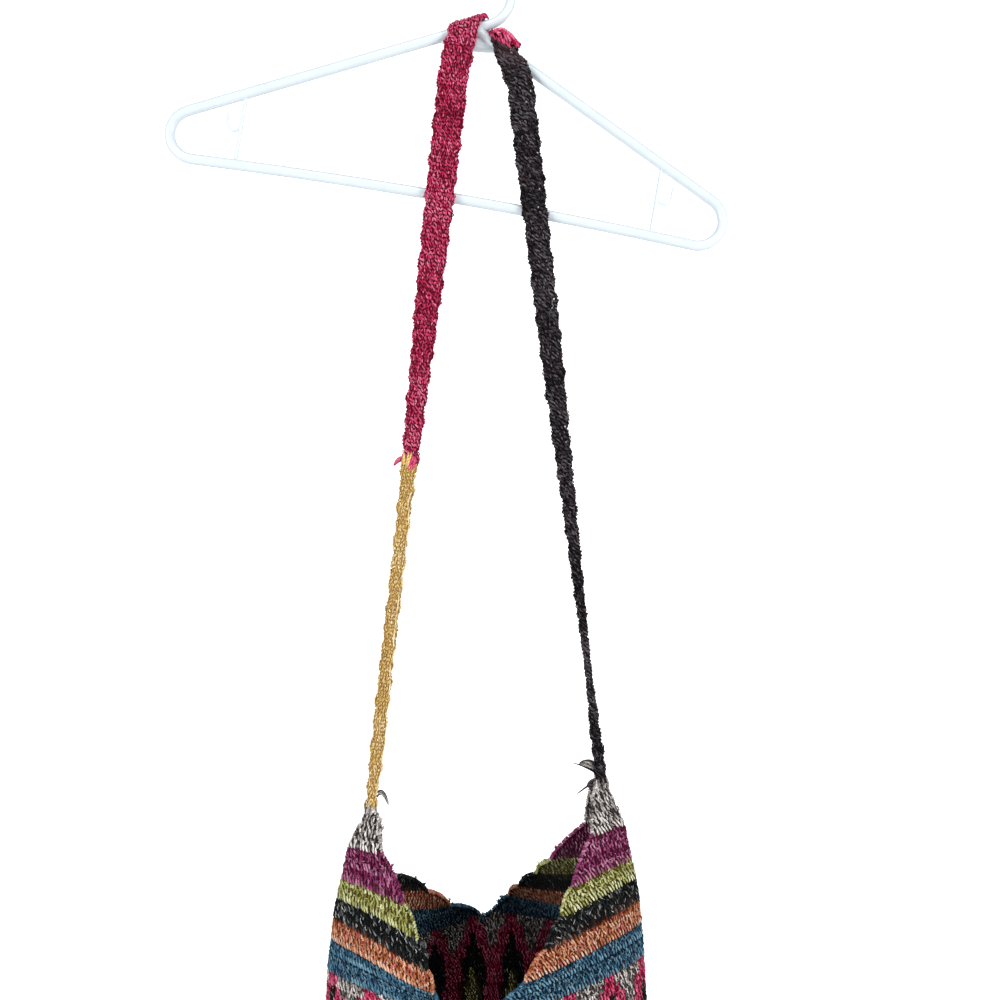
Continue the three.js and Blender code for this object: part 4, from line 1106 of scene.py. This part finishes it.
# the trace of red after it: length, share and tone
RED_TRACE, TRACE_SHARE, TRACE_TONE = 24.0, 0.55, (74, 38, 44)
# strands that lie along the strap
OVER_STATIONS, OVER_SIDES, OVER_THIN, OVER_LIFT, OVER_ARCH, OVER_BLUNT = 9, 6, 0.35, 0.1, 0.9, 0.02
OVER_UNEVEN = {"end": 0.5, "place": 0.02, "across": 0.03, "thick": 0.12}
# strands drawn from the front: how far below the neck, how near the strap must be, points smoothed over
DRAWN_STATIONS, DRAWN_BELOW, DRAWN_NEAR, DRAWN_MORE, DRAWN_SMOOTH = 12, 60.0, 1.6, 0.1, 5
DRAWN_SIDES, DRAWN_THIN, DRAWN_BLUNT = 7, 0.5, 0.05
BAND_OVER, BAND_ROW_STEP, BAND_SIDE_STEP = 1.2, 2, 3


def strap_strands(yarn, cloth):
    """Rows along the band: in each, pairs of slanted strands, as many as its girth holds. One strand of
    each pair lies higher and is lighter, a painted highlight, and in the creases all are darker, painted
    shade."""
    parts = []
    rows = np.arange(STRAP_ROW / 2, cloth["length"], STRAP_ROW)
    girth = np.interp(rows, cloth["along"], cloth["girth"])
    count = np.maximum(FEWEST_AROUND, np.round(girth / STRAP_STITCH)).astype(int)
    row = np.repeat(np.arange(len(rows)), count)
    start = np.repeat(np.concatenate([[0], count.cumsum()[:-1]]), count)
    pitch = 1 / count[row][:, None]
    first = (np.arange(len(row)) - start + ROW_SHIFT * row)[:, None] / count[row][:, None]
    total = len(row)
    t = np.linspace(0, 1, PAIR_STATIONS)[None]
    place = rows[row][:, None]
    dye_and_shade = sum(size * np.sin(place / length) for size, length in STRAP_DYE)
    # painted shade in the creases
    dye_and_shade = dye_and_shade - CREASE_SHADE * np.clip(-crease(place) - CREASE_START, 0, 1)
    mean, wander = LEAN[yarn]
    for side in (-1, 1):
        slant = mean + jitter(total, wander)
        u = first + pitch * (PAIR["apart"] * side + slant * (t - 0.5) + jitter(total, PAIR_UNEVEN["aside"]))
        length = PAIR["length"] + jitter(total, PAIR_UNEVEN["length"])
        v = place + STRAP_ROW * (jitter(total, PAIR_UNEVEN["along"]) + length * (t - 0.5))
        arch = PAIR["arch"] + PAIR["higher"] * side + jitter(total, PAIR_UNEVEN["arch"])
        lift = PAIR["lift"] + arch * np.sin(np.pi * t) ** ARCH_CURVE
        path, normal = lay(cloth, u, np.clip(v, 0, cloth["length"]), lift)
        radius = STRAP_STRAND[yarn] * plump(t, PAIR["thin"]) * (1 + jitter(total, PAIR_UNEVEN["thick"]))
        # painted highlight: the higher strand of each pair is lighter
        own = dye_and_shade + PAIR["lighter"] * side
        tint = strand_tints(yarn, total, PAIR_STATIONS, own)
        if yarn == "charcoal":
            tint = rose_start(tint, u, place, strand_tints("rose", total, PAIR_STATIONS, own))
        parts.append(spindles(path, normal, radius, tint, PAIR_SIDES))
    return parts


def rose_start(tint, u, place, rose):
    """At the charcoal's start its front is worked in rose, less and less toward the right edge, and a trace
    of red stays in the yarn for a few rows more."""
    reach = ROSE_REACH * np.clip((u % 1 - ROSE_FROM) / ROSE_OVER, 0, 1)
    trace = TRACE_SHARE * np.clip(1 - (place - reach) / RED_TRACE, 0, 1)[..., None]
    tint = tint * (1 - trace) + linear(TRACE_TONE) * trace
    return np.where((place < reach)[..., None], rose, tint)


def over_strands(yarn, cloth, around, start, stop, radius, lift=OVER_ARCH, dye_and_shade=0.0):
    """Strands that lie along the strap, one for each place around it, from start to stop along it.
    The given shift makes them lighter or darker than the yarn's middle."""
    count = len(around)
    t = np.linspace(0, 1, OVER_STATIONS)[None]
    start, stop = (np.asarray(v, float).reshape(-1, 1) + jitter(count, OVER_UNEVEN["end"])
                   for v in (start, stop))
    u = np.asarray(around, float)[:, None] + jitter(count, OVER_UNEVEN["place"])
    u = u + jitter(count, OVER_UNEVEN["across"]) * t
    blunt = np.clip(t, OVER_BLUNT, 1 - OVER_BLUNT)
    above = OVER_LIFT + lift * plump(blunt, 0, BLUNT_CURVE)
    path, normal = lay(cloth, u, start + (stop - start) * t, above)
    size = radius * plump(blunt, OVER_THIN, ARCH_CURVE) * (1 + jitter(count, OVER_UNEVEN["thick"]))
    return spindles(path, normal, size, strand_tints(yarn, count, OVER_STATIONS, dye_and_shade), OVER_SIDES)


def drawn_strands(yarn, lines):
    """A smooth strand through points given as seen from the front, each laid on the strap where the strap
    is nearest the camera within a small distance of it."""
    skin = np.concatenate([cloth["point"].reshape(-1, 3) for cloth in strap_cloth.values()])
    skin = skin[skin[:, 2] > NECK[2] - DRAWN_BELOW]
    t = np.linspace(0, 1, DRAWN_STATIONS)
    blunt = np.clip(t, DRAWN_BLUNT, 1 - DRAWN_BLUNT)
    mean = np.full(DRAWN_SMOOTH, 1 / DRAWN_SMOOTH)
    parts = []
    for line, radius, dye_and_shade, lift in lines:
        line = np.array(line, float)
        share = np.linspace(0, 1, len(line))
        x, z = (smooth_column(share, line[:, k], t) for k in range(2))
        away = np.hypot(skin[:, 0] - x[:, None], skin[:, 2] - z[:, None])
        near = away < np.maximum(DRAWN_NEAR, away.min(1, keepdims=True) + DRAWN_MORE)
        y = np.where(near, skin[:, 1], np.inf).min(1)
        y = np.convolve(np.pad(y, DRAWN_SMOOTH // 2, mode="edge"), mean, "valid") - lift
        path = np.stack([x, y, z], -1)[None]
        normal = np.broadcast_to([0.0, -1.0, 0.0], path.shape)
        size = radius * plump(blunt, DRAWN_THIN, BLUNT_CURVE)[None]
        tint = strand_tints(yarn, 1, DRAWN_STATIONS, dye_and_shade)
        parts.append(spindles(path, normal, size, tint, DRAWN_SIDES))
    return parts


def strap_shade_band(yarn, cloth):
    """The band itself: the map's rings, closed at both ends by a fan, dark as painted shade between the
    strands.
    """
    kept = (cloth["along"] >= -BAND_OVER) & (cloth["along"] <= cloth["length"] + BAND_OVER)
    point = cloth["point"][kept][::BAND_ROW_STEP, ::BAND_SIDE_STEP]
    centre = cloth["centre"][kept][::BAND_ROW_STEP]
    size = point.shape[:2]
    faces = np.concatenate([ring_faces(*size), pole_faces(*size)])
    points = np.concatenate([point.reshape(-1, 3), centre[:1], centre[-1:]])
    # painted shade: the yarn's dark tone, darker still, shows between the strands
    tint = np.tile(linear(YARNS[yarn][0]) * STRAP_GAP_SHADE[yarn], (len(points), 1))
    return skin_part(points, facing_out(points, faces), tint)


strap_parts = {yarn: strap_strands(yarn, cloth) for yarn, cloth in strap_cloth.items()}
print({yarn: sum(len(p["faces"]) for p in parts) for yarn, parts in strap_parts.items()})

# %% [markdown]
# Where two lengths meet, the yarn of one runs on over the other and hides the join. Over the hanger's
# arms the strap is folded, and there single strands are drawn as the front view shows them. At the
# peaks the bag's grey yarn is wrapped over the strap's ends.

# %% Strands at the joins, the fold and the peaks
# At a join one length's yarn runs on over the other. By the length it lies on: its yarn, places around,
# start and stop along that length, lighter or darker. Places around are shares of the girth: 0.5 is the
# left edge, 0.75 the front and 1 the right edge, and on the charcoal left and right are swapped.
gold_end, rose_end, charcoal_end = (strap_cloth[yarn]["length"] for yarn in ("gold", "rose", "charcoal"))
JOIN_RADIUS = 0.95
JOINS = {
    "gold": [("gold", (0.5, 0.55, 0.6, 0.65, 0.7, 0.1, 0.2, 0.3, 0.4), gold_end - 4, gold_end + 7, 0.0)],
    "rose": [("rose", (0.76, 0.8, 0.84, 0.88, 0.93, 0.98, 0.15, 0.25, 0.35), 5, -7, 0.0),
             ("rose", (0.54, 0.58, 0.62, 0.66, 0.7, 0.74, 0.78, 0.82, 0.86, 0.9, 0.94),
              rose_end - 5, rose_end + 4, -0.7)],
    "charcoal": [("rose", (0.1, 0.2, 0.3, 0.4), -2, 5, 0.0)],
}
# Strands drawn on the front of the fold: points (x, z) to pass, radius, lighter or darker, lift
FOLD_STRANDS = (
    (((10.9, -44.9), (17.0, -45.3), (22.8, -47.2), (26.9, -52.1), (29.6, -57.6), (30.8, -60.6)),
     0.95, -1.1, 0.5),
    (((11.7, -46.9), (17.0, -46.5), (22.1, -48.3), (25.9, -52.8), (28.4, -58.2), (29.4, -60.8)),
     0.85, -0.4, 0.6),
    (((12.6, -48.4), (16.2, -47.9), (20.6, -49.2)), 0.8, -0.7, 0.5),
    (((11.1, -45.4), (11.5, -48.0), (13.3, -51.4)), 0.8, -0.2, 0.7),
    (((13.0, -45.6), (13.2, -48.4), (14.8, -51.8)), 0.8, 0.45, 0.8),
    (((14.8, -46.4), (14.8, -48.7), (15.9, -51.0)), 0.75, -0.5, 0.7),
    (((15.9, -50.2), (17.6, -48.4), (20.2, -48.3), (23.4, -51.2), (26.2, -55.4), (26.9, -57.2)),
     1.35, 1.6, 1.9),
    (((17.3, -52.8), (18.4, -56.5), (19.9, -59.8)), 0.75, 0.3, 0.8),
    (((19.5, -52.5), (21.0, -55.7), (22.8, -59.0)), 0.75, -0.1, 0.8),
    (((21.7, -53.2), (23.1, -56.1), (25.0, -58.7)), 0.75, 0.35, 0.8),
    (((23.9, -54.6), (25.3, -57.2), (27.5, -59.0)), 0.7, 0.0, 0.8),
    (((12.6, -48.8), (17.2, -49.7), (22.0, -51.8)), 1.4, -0.7, 0.4),
    (((8.8, -45.4), (9.5, -47.3), (11.0, -50.4)), 1.0, -0.8, 0.5),
    (((12.8, -49.7), (14.7, -51.7), (16.8, -54.0)), 1.0, -0.1, 0.9),
    (((25.0, -55.6), (26.1, -58.4), (27.2, -60.8)), 1.0, -0.5, 0.8),
)
# and at the corner over the left arm, where a few strands stand away from the edge
CORNER_STRANDS = (
    (((2.6, -34.6), (6.2, -32.3), (8.6, -34.4)), 0.75, -0.4, 0.3),
    (((1.8, -36.4), (5.5, -34.2), (9.3, -34.9)), 0.8, 0.1, 0.5),
    (((3.4, -37.2), (6.2, -35.7), (8.9, -35.4)), 0.75, -0.6, 0.4),
)
for own, joins in JOINS.items():
    for yarn, around, start, stop, dye_and_shade in joins:
        strands = over_strands(yarn, strap_cloth[own], around, start, stop, JOIN_RADIUS, dye_and_shade=dye_and_shade)
        strap_parts[yarn].append(strands)
# long light strands on the gold's right edge, and a few pale flecks on the charcoal
along = np.arange(6, gold_end - 20, 12.5)
strap_parts["gold"].append(over_strands(
    "gold", strap_cloth["gold"], np.full(len(along), 0.92), along, along + 15,
    radius=0.62, lift=0.8, dye_and_shade=0.7))
FLECKS = 22
along = chance.uniform(4, 300, FLECKS)
strap_parts["charcoal"].append(over_strands(
    "grey", strap_cloth["charcoal"], chance.uniform(0.52, 0.68, FLECKS), along, along + 1.6,
    radius=0.42, lift=0.7))
strap_parts["rose"] += drawn_strands("rose", FOLD_STRANDS) + drawn_strands("rose", CORNER_STRANDS)
strap_bands, strap_pieces = {}, {}
for yarn, cloth in strap_cloth.items():
    band, slot = strap_shade_band(yarn, cloth), f"yarn_{yarn}"
    strap_bands[yarn] = put_mesh(f"{yarn}_band", [band], FINISHES[yarn])
    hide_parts(f"strap_{yarn}")
    strap_pieces[yarn] = put_mesh(f"{yarn}_stitches", strap_parts[yarn], FINISHES[yarn])
# grey yarn of the peaks wrapped over the strap's two ends, on the charcoal's front and behind
GOLD_WRAPS, FRONT_WRAPS, BACK_WRAPS = 14, 9, 6
peak_wraps = put_mesh("peak_wraps", [
    over_strands("grey", strap_cloth["gold"], np.arange(GOLD_WRAPS) / GOLD_WRAPS,
                 -5, chance.uniform(1, 7, GOLD_WRAPS), radius=0.8),
    over_strands("grey", strap_cloth["charcoal"], np.linspace(0.52, 1.0, FRONT_WRAPS),
                 charcoal_end + 7, charcoal_end - chance.uniform(2, 15, FRONT_WRAPS), radius=0.75),
    over_strands("grey", strap_cloth["charcoal"], np.linspace(0.04, 0.48, BACK_WRAPS),
                 charcoal_end + 6, charcoal_end - 4, radius=0.8),
], FINISHES["grey"])

# %% [markdown]
# ## Loose ends
# Where the lengths are joined the maker left short yarn ends. Each is a bundle of thin fibres that
# leave the join together, bow apart and close again at their tips.

# %% Yarn tails
# yarn, then bundles: points to pass, fibres, spread, radius and the yarn whose colours they have
TAILS = {
    "tail_rose": ("rose", (
        (((-52.4, -6.4, -359), (-56.4, -7.4, -359.6), (-60.6, -7.6, -364.6)), 8, 1.3, 0.75, "rose"),
    )),
    "tail_left": ("grey", (
        (((-72.4, -6.5, -602.8), (-68.4, -7, -602.6), (-63.7, -7.4, -612.6)), 2, 1.4, 0.42, "black"),
        (((-72.4, -6.6, -602.8), (-68.4, -7.1, -602.6), (-64.2, -7.5, -611.6)), 6, 0.9, 0.42, "grey"),
        (((-72.6, -6.5, -606), (-71.4, -7, -603.6), (-68.6, -7.2, -603.2)), 4, 0.5, 0.5, "grey"),
    )),
    "tail_fan": ("grey", (
        (((88.4, 2, -583.8), (81.8, 1.4, -580.7), (75.6, 0.7, -583.6)), 2, 0.25, 0.65, "black"),
        (((89.6, 2, -591.8), (80.2, 1.4, -586), (70, 0.8, -582.5)), 3, 0.25, 0.65, "black"),
        (((89.2, 1.9, -587.7), (81.8, 1.3, -583.6), (75.4, 0.7, -583.3)), 10, 2.5, 0.45, "grey"),
        (((89.2, 2.3, -587.7), (81.8, 2, -583.6), (75.4, 1.4, -583.3)), 10, 2.6, 0.6, "charcoal"),
    )),
    "tail_right": ("charcoal", (
        (((89, 2, -595.2), (81.9, 1, -599.4), (71.8, 0.6, -606.8)), 4, 0.35, 0.6, "black"),
        (((81.4, 1, -598.6), (85, 1.2, -595.6), (89.4, 1.6, -594.4)), 5, 0.6, 0.75, "charcoal"),
        (((81.4, 1, -598.6), (84.6, 1, -599.2), (89, 1.4, -600.4)), 5, 1.0, 0.6, "charcoal"),
        (((81.2, 1, -598.2), (84.2, 1, -601.6), (88.6, 1.4, -606)), 5, 0.7, 0.6, "black"),
    )),
}
# how far fibres lie apart by chance, before or behind, and how much shorter or longer they are
FIBRE_APART, FIBRE_DEEP, FIBRE_ENDS = 0.08, 0.4, (-0.1, 0.04)
# the bow starts a little open and ends nearly closed: share of the half wave, its start and its power
BOW_SPAN, BOW_START, BOW_CURVE = 0.9, 0.06, 0.8
FIBRE_THIN, TIP_TAPER, TAIL_STATIONS, TAIL_SIDES = 0.75, 0.5, 14, 5


def fibre_bundle(points, count, spread, radius, yarn):
    """A parabola through three points, with fibres side by side that bow apart and close at the tip."""
    t = np.linspace(0, 1, TAIL_STATIONS)[None, :, None]
    line = parabola(t, *points)
    ahead = np.gradient(line, axis=1)
    across = unit(np.cross(ahead, [0, 1, 0]))
    offset = np.linspace(-1, 1, count)[:, None, None] + jitter(count, FIBRE_APART, 2)
    deep = chance.uniform(-FIBRE_DEEP, FIBRE_DEEP, (count, 1, 1))
    bow = np.sin(np.pi * np.clip(t * BOW_SPAN + BOW_START, 0, 1)) ** BOW_CURVE
    path = line + spread * bow * (offset * across + deep * np.array([0, 1, 0]))
    path = path + ahead * TAIL_STATIONS * chance.uniform(*FIBRE_ENDS, (count, 1, 1)) * t
    along = t[..., 0]
    size = radius * plump(along, FIBRE_THIN, 1) * (1 - TIP_TAPER * along) * np.ones((count, 1))
    normal = np.broadcast_to(np.array([0.0, -1.0, 0.0]), path.shape)
    return spindles(path, normal, size, strand_tints(yarn, count, TAIL_STATIONS), TAIL_SIDES)


for name, (yarn, bundles) in TAILS.items():
    parts = [fibre_bundle(*bundle) for bundle in bundles]
    put_mesh(f"{name}_fibres", parts, FINISHES[yarn])
    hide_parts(name)

# %% [markdown]
# ## The hanger
# The hanger is moulded in white plastic: one closed tube for the frame, a hook, a web in the corner of
# the neck, and near each end a thin bar with a small hook. All but the web are circles carried along
# a line in the hanger's own plane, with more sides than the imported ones, so that they look round.

# %% Hanger tubes
HANGER_WIDTH, FRAME_HEIGHT, BAR_ARCH = 420.0, 130.0, 4.3
HOOK = {"half": 25.3, "level": -17.9, "bend": 22.4, "from": -80, "to": 176,
        "stem": (-7.4, -42.8), "tube": 7.2}
NECK_RADIUS = 12.0
BAR_PLACE, BAR_THICK = 155.0, 3.0
SIDE_HOOK = {"drop": 22.8, "radius": 5.5, "straight": 6.5, "thick": 2.6, "from": -20, "to": -180}
GUSSET = {"half": 22.0, "thick": 3.4, "top": -2.0, "side": -12.0, "foot": -14.0, "middle": -16.5}
# share of the outline and place in the thickness
WEB_LAYERS = ((0.96, -0.5), (1.0, -0.34), (1.0, 0.34), (0.96, 0.5))
# distances of rings along the tubes, sides around them, steps of their bends and domes
FRAME_STEP, HOOK_STEP, BAR_STEP = 4.0, 2.5, 6.0
TUBE_SIDES, BAR_SIDES, SIDE_HOOK_SIDES = 20, 14, 12
NECK_STEPS, BEND_STEPS, SIDE_HOOK_STEPS, OVAL_POINTS, ARCH_POINTS, WEB_POINTS = 12, 24, 20, 48, 33, 25
DOME_STEPS, DOME_TIP = 5, 0.02
HANGER_UV = 10.0


def arc(x, z, radius, start, stop, steps):
    """Points of a circle's arc in the hanger's plane."""
    angle = np.linspace(start, stop, steps + 1)
    return np.stack([x + radius * np.cos(angle), z + radius * np.sin(angle)], -1)


def even_line(points, step):
    """The same line with points every step along it."""
    run = walked(points)
    at = np.linspace(0, run[-1], max(2, int(run[-1] / step)))
    return np.stack([np.interp(at, run, points[:, k]) for k in range(2)], -1)


def frame_line():
    """The closed frame: neck arc, right arm and end, bottom bar with a low arch, left end and arm."""
    corner = FRAME_HEIGHT / math.tan(ARM_SLOPE)
    reach = HANGER_WIDTH / 2 - FRAME_TUBE / 2
    half = ARM_SLOPE / 2
    radius = (corner - reach) / (1 / math.tan(half) - 1)
    end_x, end_z = corner - radius / math.tan(half), radius - FRAME_HEIGHT
    quarter = math.pi / 2
    neck = arc(0, -NECK_RADIUS / math.cos(ARM_SLOPE), NECK_RADIUS,
               quarter + ARM_SLOPE, quarter - ARM_SLOPE, NECK_STEPS)
    right = arc(end_x, end_z, radius, quarter - ARM_SLOPE, -quarter, BEND_STEPS)
    left = arc(-end_x, end_z, radius, -quarter, -3 * quarter + ARM_SLOPE, BEND_STEPS)
    across = np.linspace(1, -1, ARCH_POINTS)[1:-1]
    bottom = np.stack([end_x * across, BAR_ARCH * (1 - across ** 2) - FRAME_HEIGHT], -1)
    return np.concatenate([neck, right, bottom, left])


def hook_line():
    """The hook's line from the front: a stem out of the neck, a round bend and half an oval over the rail,
    turned back into the hanger's plane."""
    bend = arc(HOOK["half"] - HOOK["bend"], HOOK["level"], HOOK["bend"],
               math.radians(HOOK["from"]), 0, BEND_STEPS)
    angle = np.linspace(0, math.radians(HOOK["to"]), OVAL_POINTS)[1:]
    tall = HOOK["tube"] / 2 - HOOK["level"]
    oval = np.stack([HOOK["half"] * np.cos(angle), HOOK["level"] + tall * np.sin(angle)], -1)
    line = np.concatenate([[HOOK["stem"]], bend, oval]) - NECK[[0, 2]]
    return np.stack(turned(line[:, 0], line[:, 1], HANGER_TILT), -1)


def plane_tube(line, radius, sides, closed=False):
    """Rings across a line in the hanger's plane, on its outward direction and on depth. Open ends are
    domed."""
    ahead = unit(np.roll(line, -1, 0) - np.roll(line, 1, 0) if closed else np.gradient(line, axis=0))
    size = np.full(len(line), float(radius))
    if not closed:
        bend = np.linspace(0, np.pi / 2, DOME_STEPS + 1)[:0:-1]
        out, dome = radius * np.sin(bend)[:, None], radius * np.cos(bend)
        line = np.concatenate([line[0] - ahead[0] * out, line, (line[-1] + ahead[-1] * out)[::-1]])
        before, after = (np.repeat(end, DOME_STEPS, 0) for end in (ahead[:1], ahead[-1:]))
        ahead = np.concatenate([before, ahead, after])
        size = np.maximum(np.concatenate([dome, size, dome[::-1]]), DOME_TIP)
    angle = 2 * np.pi * np.arange(sides) / sides
    outward = np.stack([ahead[:, 1], -ahead[:, 0]], -1)
    flat = line[:, None] + size[:, None, None] * np.cos(angle)[None, :, None] * outward[:, None]
    points = np.stack([flat[..., 0], size[:, None] * np.sin(angle), flat[..., 1]], -1)
    faces = ring_faces(len(points), sides, closed)
    if not closed:
        j = np.arange(1, sides - 1)
        end = (len(points) - 1) * sides
        lids = [np.stack([0 * j, j + 1, j], 1), np.stack([0 * j + end, end + j, end + j + 1], 1)]
        faces = np.concatenate([faces] + lids)
    return moulded(points.reshape(-1, 3), faces)


def moulded(points, faces):
    """A closed part of the hanger with its faces turned outward, in the hanger's tilt and place."""
    faces = facing_out(points, faces)
    x, z = turned(points[:, 0], points[:, 2], -HANGER_TILT)
    placed = np.stack([x, points[:, 1], z], -1) + NECK
    return skin_part(placed, faces, np.ones((len(placed), 3)), HANGER_UV)


def side_hook(side):
    """A small hook beside a thin bar: most of a half circle, then a short straight rise."""
    x = BAR_PLACE + SIDE_HOOK["radius"]
    z = -BAR_PLACE * math.tan(ARM_SLOPE) - SIDE_HOOK["drop"]
    ends = [math.radians(-180 - e if side > 0 else e) for e in (SIDE_HOOK["from"], SIDE_HOOK["to"])]
    bend = arc(side * x, z, SIDE_HOOK["radius"], *ends, SIDE_HOOK_STEPS)
    rise = bend[-1] + np.array([0, SIDE_HOOK["straight"]])
    return plane_tube(np.concatenate([bend, rise[None]]), SIDE_HOOK["thick"] / 2, SIDE_HOOK_SIDES)


def thin_bar(side):
    """A thin bar from an arm down to the bottom bar."""
    x = side * BAR_PLACE
    ends = np.array([(x, -BAR_PLACE * math.tan(ARM_SLOPE)), (x, -FRAME_HEIGHT)])
    return plane_tube(even_line(ends, BAR_STEP), BAR_THICK / 2, BAR_SIDES)


def corner_web():
    """A flat plate under the neck: its outline, repeated toward both faces with a small rounding."""
    g = GUSSET
    t = np.linspace(0, 1, WEB_POINTS)[:, None]
    curve = parabola(t, (g["half"], g["foot"]), (0, g["middle"]), (-g["half"], g["foot"]))
    outline = np.concatenate([[(-g["half"], g["side"]), (0, g["top"]), (g["half"], g["side"])], curve])
    middle = outline.mean(0)
    share, level = np.array(WEB_LAYERS).T
    flat = middle + (outline - middle) * share[:, None, None]
    depth = np.broadcast_to((level * g["thick"])[:, None], flat.shape[:2])
    rings = np.stack([flat[..., 0], depth, flat[..., 1]], -1)
    poles = [(middle[0], level[k] * g["thick"], middle[1]) for k in (0, -1)]
    size = rings.shape[:2]
    return moulded(np.concatenate([rings.reshape(-1, 3), poles]),
                   np.concatenate([ring_faces(*size), pole_faces(*size)]))


def plastic_finish():
    """White moulded plastic: a faint blue, glossy, with very low waves left by the mould."""
    finish, nodes, links, skin = new_finish("hanger_plastic")
    set_inputs(skin, {"Coat Weight": 0.25, "Coat Roughness": 0.12})
    place = nodes.new("ShaderNodeTexCoord")
    cloud = nodes.new("ShaderNodeTexNoise")
    set_inputs(cloud, {"Scale": 60.0, "Detail": 3.0})
    links.new(place.outputs["Object"], cloud.inputs["Vector"])
    shade = nodes.new("ShaderNodeValToRGB")
    for element, tone in zip(shade.color_ramp.elements, ((199, 210, 217), (209, 218, 224))):
        element.color = (*linear(tone), 1)
    rough = nodes.new("ShaderNodeMapRange")
    set_inputs(rough, {"To Min": 0.22, "To Max": 0.4})
    relief = nodes.new("ShaderNodeBump")
    set_inputs(relief, {"Strength": 0.08, "Distance": 0.001})
    for socket in (shade.inputs[0], rough.inputs[0], relief.inputs["Height"]):
        links.new(cloud.outputs[0], socket)
    links.new(shade.outputs[0], skin.inputs["Base Color"])
    links.new(rough.outputs[0], skin.inputs["Roughness"])
    links.new(relief.outputs["Normal"], skin.inputs["Normal"])
    return finish


ring = frame_line()
ring = even_line(np.concatenate([ring, ring[:1]]), FRAME_STEP)[:-1]
hanger_parts = [plane_tube(ring, FRAME_TUBE / 2, TUBE_SIDES, closed=True),
                plane_tube(even_line(hook_line(), HOOK_STEP), HOOK["tube"] / 2, TUBE_SIDES),
                corner_web()]
for side in (-1, 1):
    hanger_parts += [thin_bar(side), side_hook(side)]
hanger_piece = put_mesh("hanger_moulding", hanger_parts, plastic_finish())
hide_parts("hanger")

# %% [markdown]
# ## Floor, backdrop and light
# The photograph was cut out on white, so the stage is a pale sheet that curves from the floor to the
# backdrop. Two soft lights beside the camera and a weak one from above light the front and leave the
# inside dark, and a pale world fills the shadows. The camera sees stage and world brighter than the
# light that they give.

# %% Stage and lights
FLOOR_LEVEL = -1.25
STAGE_HALF, STAGE_NEAR, STAGE_DEEP, STAGE_TALL, STAGE_BEND = 4.0, -3.0, 2.2, 2.6, 0.8
STAGE_BEND_POINTS = 24
STAGE_LIGHT, WORLD_LIGHT = 0.25, 0.21
LIGHT_SIZE = 0.8
# name, place, where it looks, energy
LIGHTS = (
    ("left", (-1.5, -1.1, -0.1), (0, 0, -0.5), 26),
    ("right", (1.5, -1.1, -0.1), (0, 0, -0.5), 30),
    ("top", (0, -0.9, 1.0), (0, 0, -0.4), 9),
)


def camera_glow(tree, rest):
    """A strength of one for what the camera sees and of rest for the light given to other things."""
    seen, glow = tree.nodes.new("ShaderNodeLightPath"), tree.nodes.new("ShaderNodeMapRange")
    set_inputs(glow, {"To Min": rest, "To Max": 1.0})
    tree.links.new(seen.outputs["Is Camera Ray"], glow.inputs[0])
    return glow.outputs[0]


def stage_sheet():
    """A floor that turns up into a backdrop: a straight line, a quarter circle and a straight line, swept
    in x."""
    bend = np.linspace(0, np.pi / 2, STAGE_BEND_POINTS)
    curve = STAGE_DEEP - STAGE_BEND + STAGE_BEND * np.sin(bend)
    y = np.concatenate([[STAGE_NEAR], curve, [STAGE_DEEP]])
    z = np.concatenate([[0], STAGE_BEND * (1 - np.cos(bend)), [STAGE_TALL]]) + FLOOR_LEVEL
    left, right = (np.stack([np.full_like(y, x), y, z], -1) for x in (-STAGE_HALF, STAGE_HALF))
    count = len(y)
    i = np.arange(count - 1)
    faces = np.stack([i, i + count, i + count + 1, i + 1], 1)
    mesh = bpy.data.meshes.new("stage")
    mesh.from_pydata(np.concatenate([left, right]).tolist(), [], faces.tolist())
    mesh.polygons.foreach_set("use_smooth", np.ones(count - 1, bool))
    sheet = bpy.data.objects.new("stage", mesh)
    bpy.context.collection.objects.link(sheet)
    paper, _, links, skin = new_finish("pale_paper")
    set_inputs(skin, {"Base Color": (0.9, 0.9, 0.9, 1), "Roughness": 1.0, "Emission Color": (1, 1, 1, 1)})
    links.new(camera_glow(paper.node_tree, STAGE_LIGHT), skin.inputs["Emission Strength"])
    mesh.materials.append(paper)


def soft_light(name, place, target, energy):
    """A square area light at place that looks at target."""
    lamp = bpy.data.lights.new(name, "AREA")
    lamp.size = LIGHT_SIZE
    lamp.energy = energy
    light = bpy.data.objects.new(name, lamp)
    light.location = place
    ahead = np.array(target, float) - np.array(place, float)
    flat = math.hypot(ahead[0], ahead[1])
    light.rotation_euler = (math.atan2(flat, -ahead[2]), 0, math.atan2(-ahead[0], ahead[1]))
    bpy.context.collection.objects.link(light)


stage_sheet()
for light in LIGHTS:
    soft_light(*light)
world = bpy.data.worlds.new("studio")
bpy.context.scene.world = world
world.use_nodes = True
sky = world.node_tree.nodes["Background"]
set_inputs(sky, {"Color": (1, 1, 1, 1)})
world.node_tree.links.new(camera_glow(world.node_tree, WORLD_LIGHT), sky.inputs["Strength"])
print(len(bpy.data.lights), "lights and a stage")
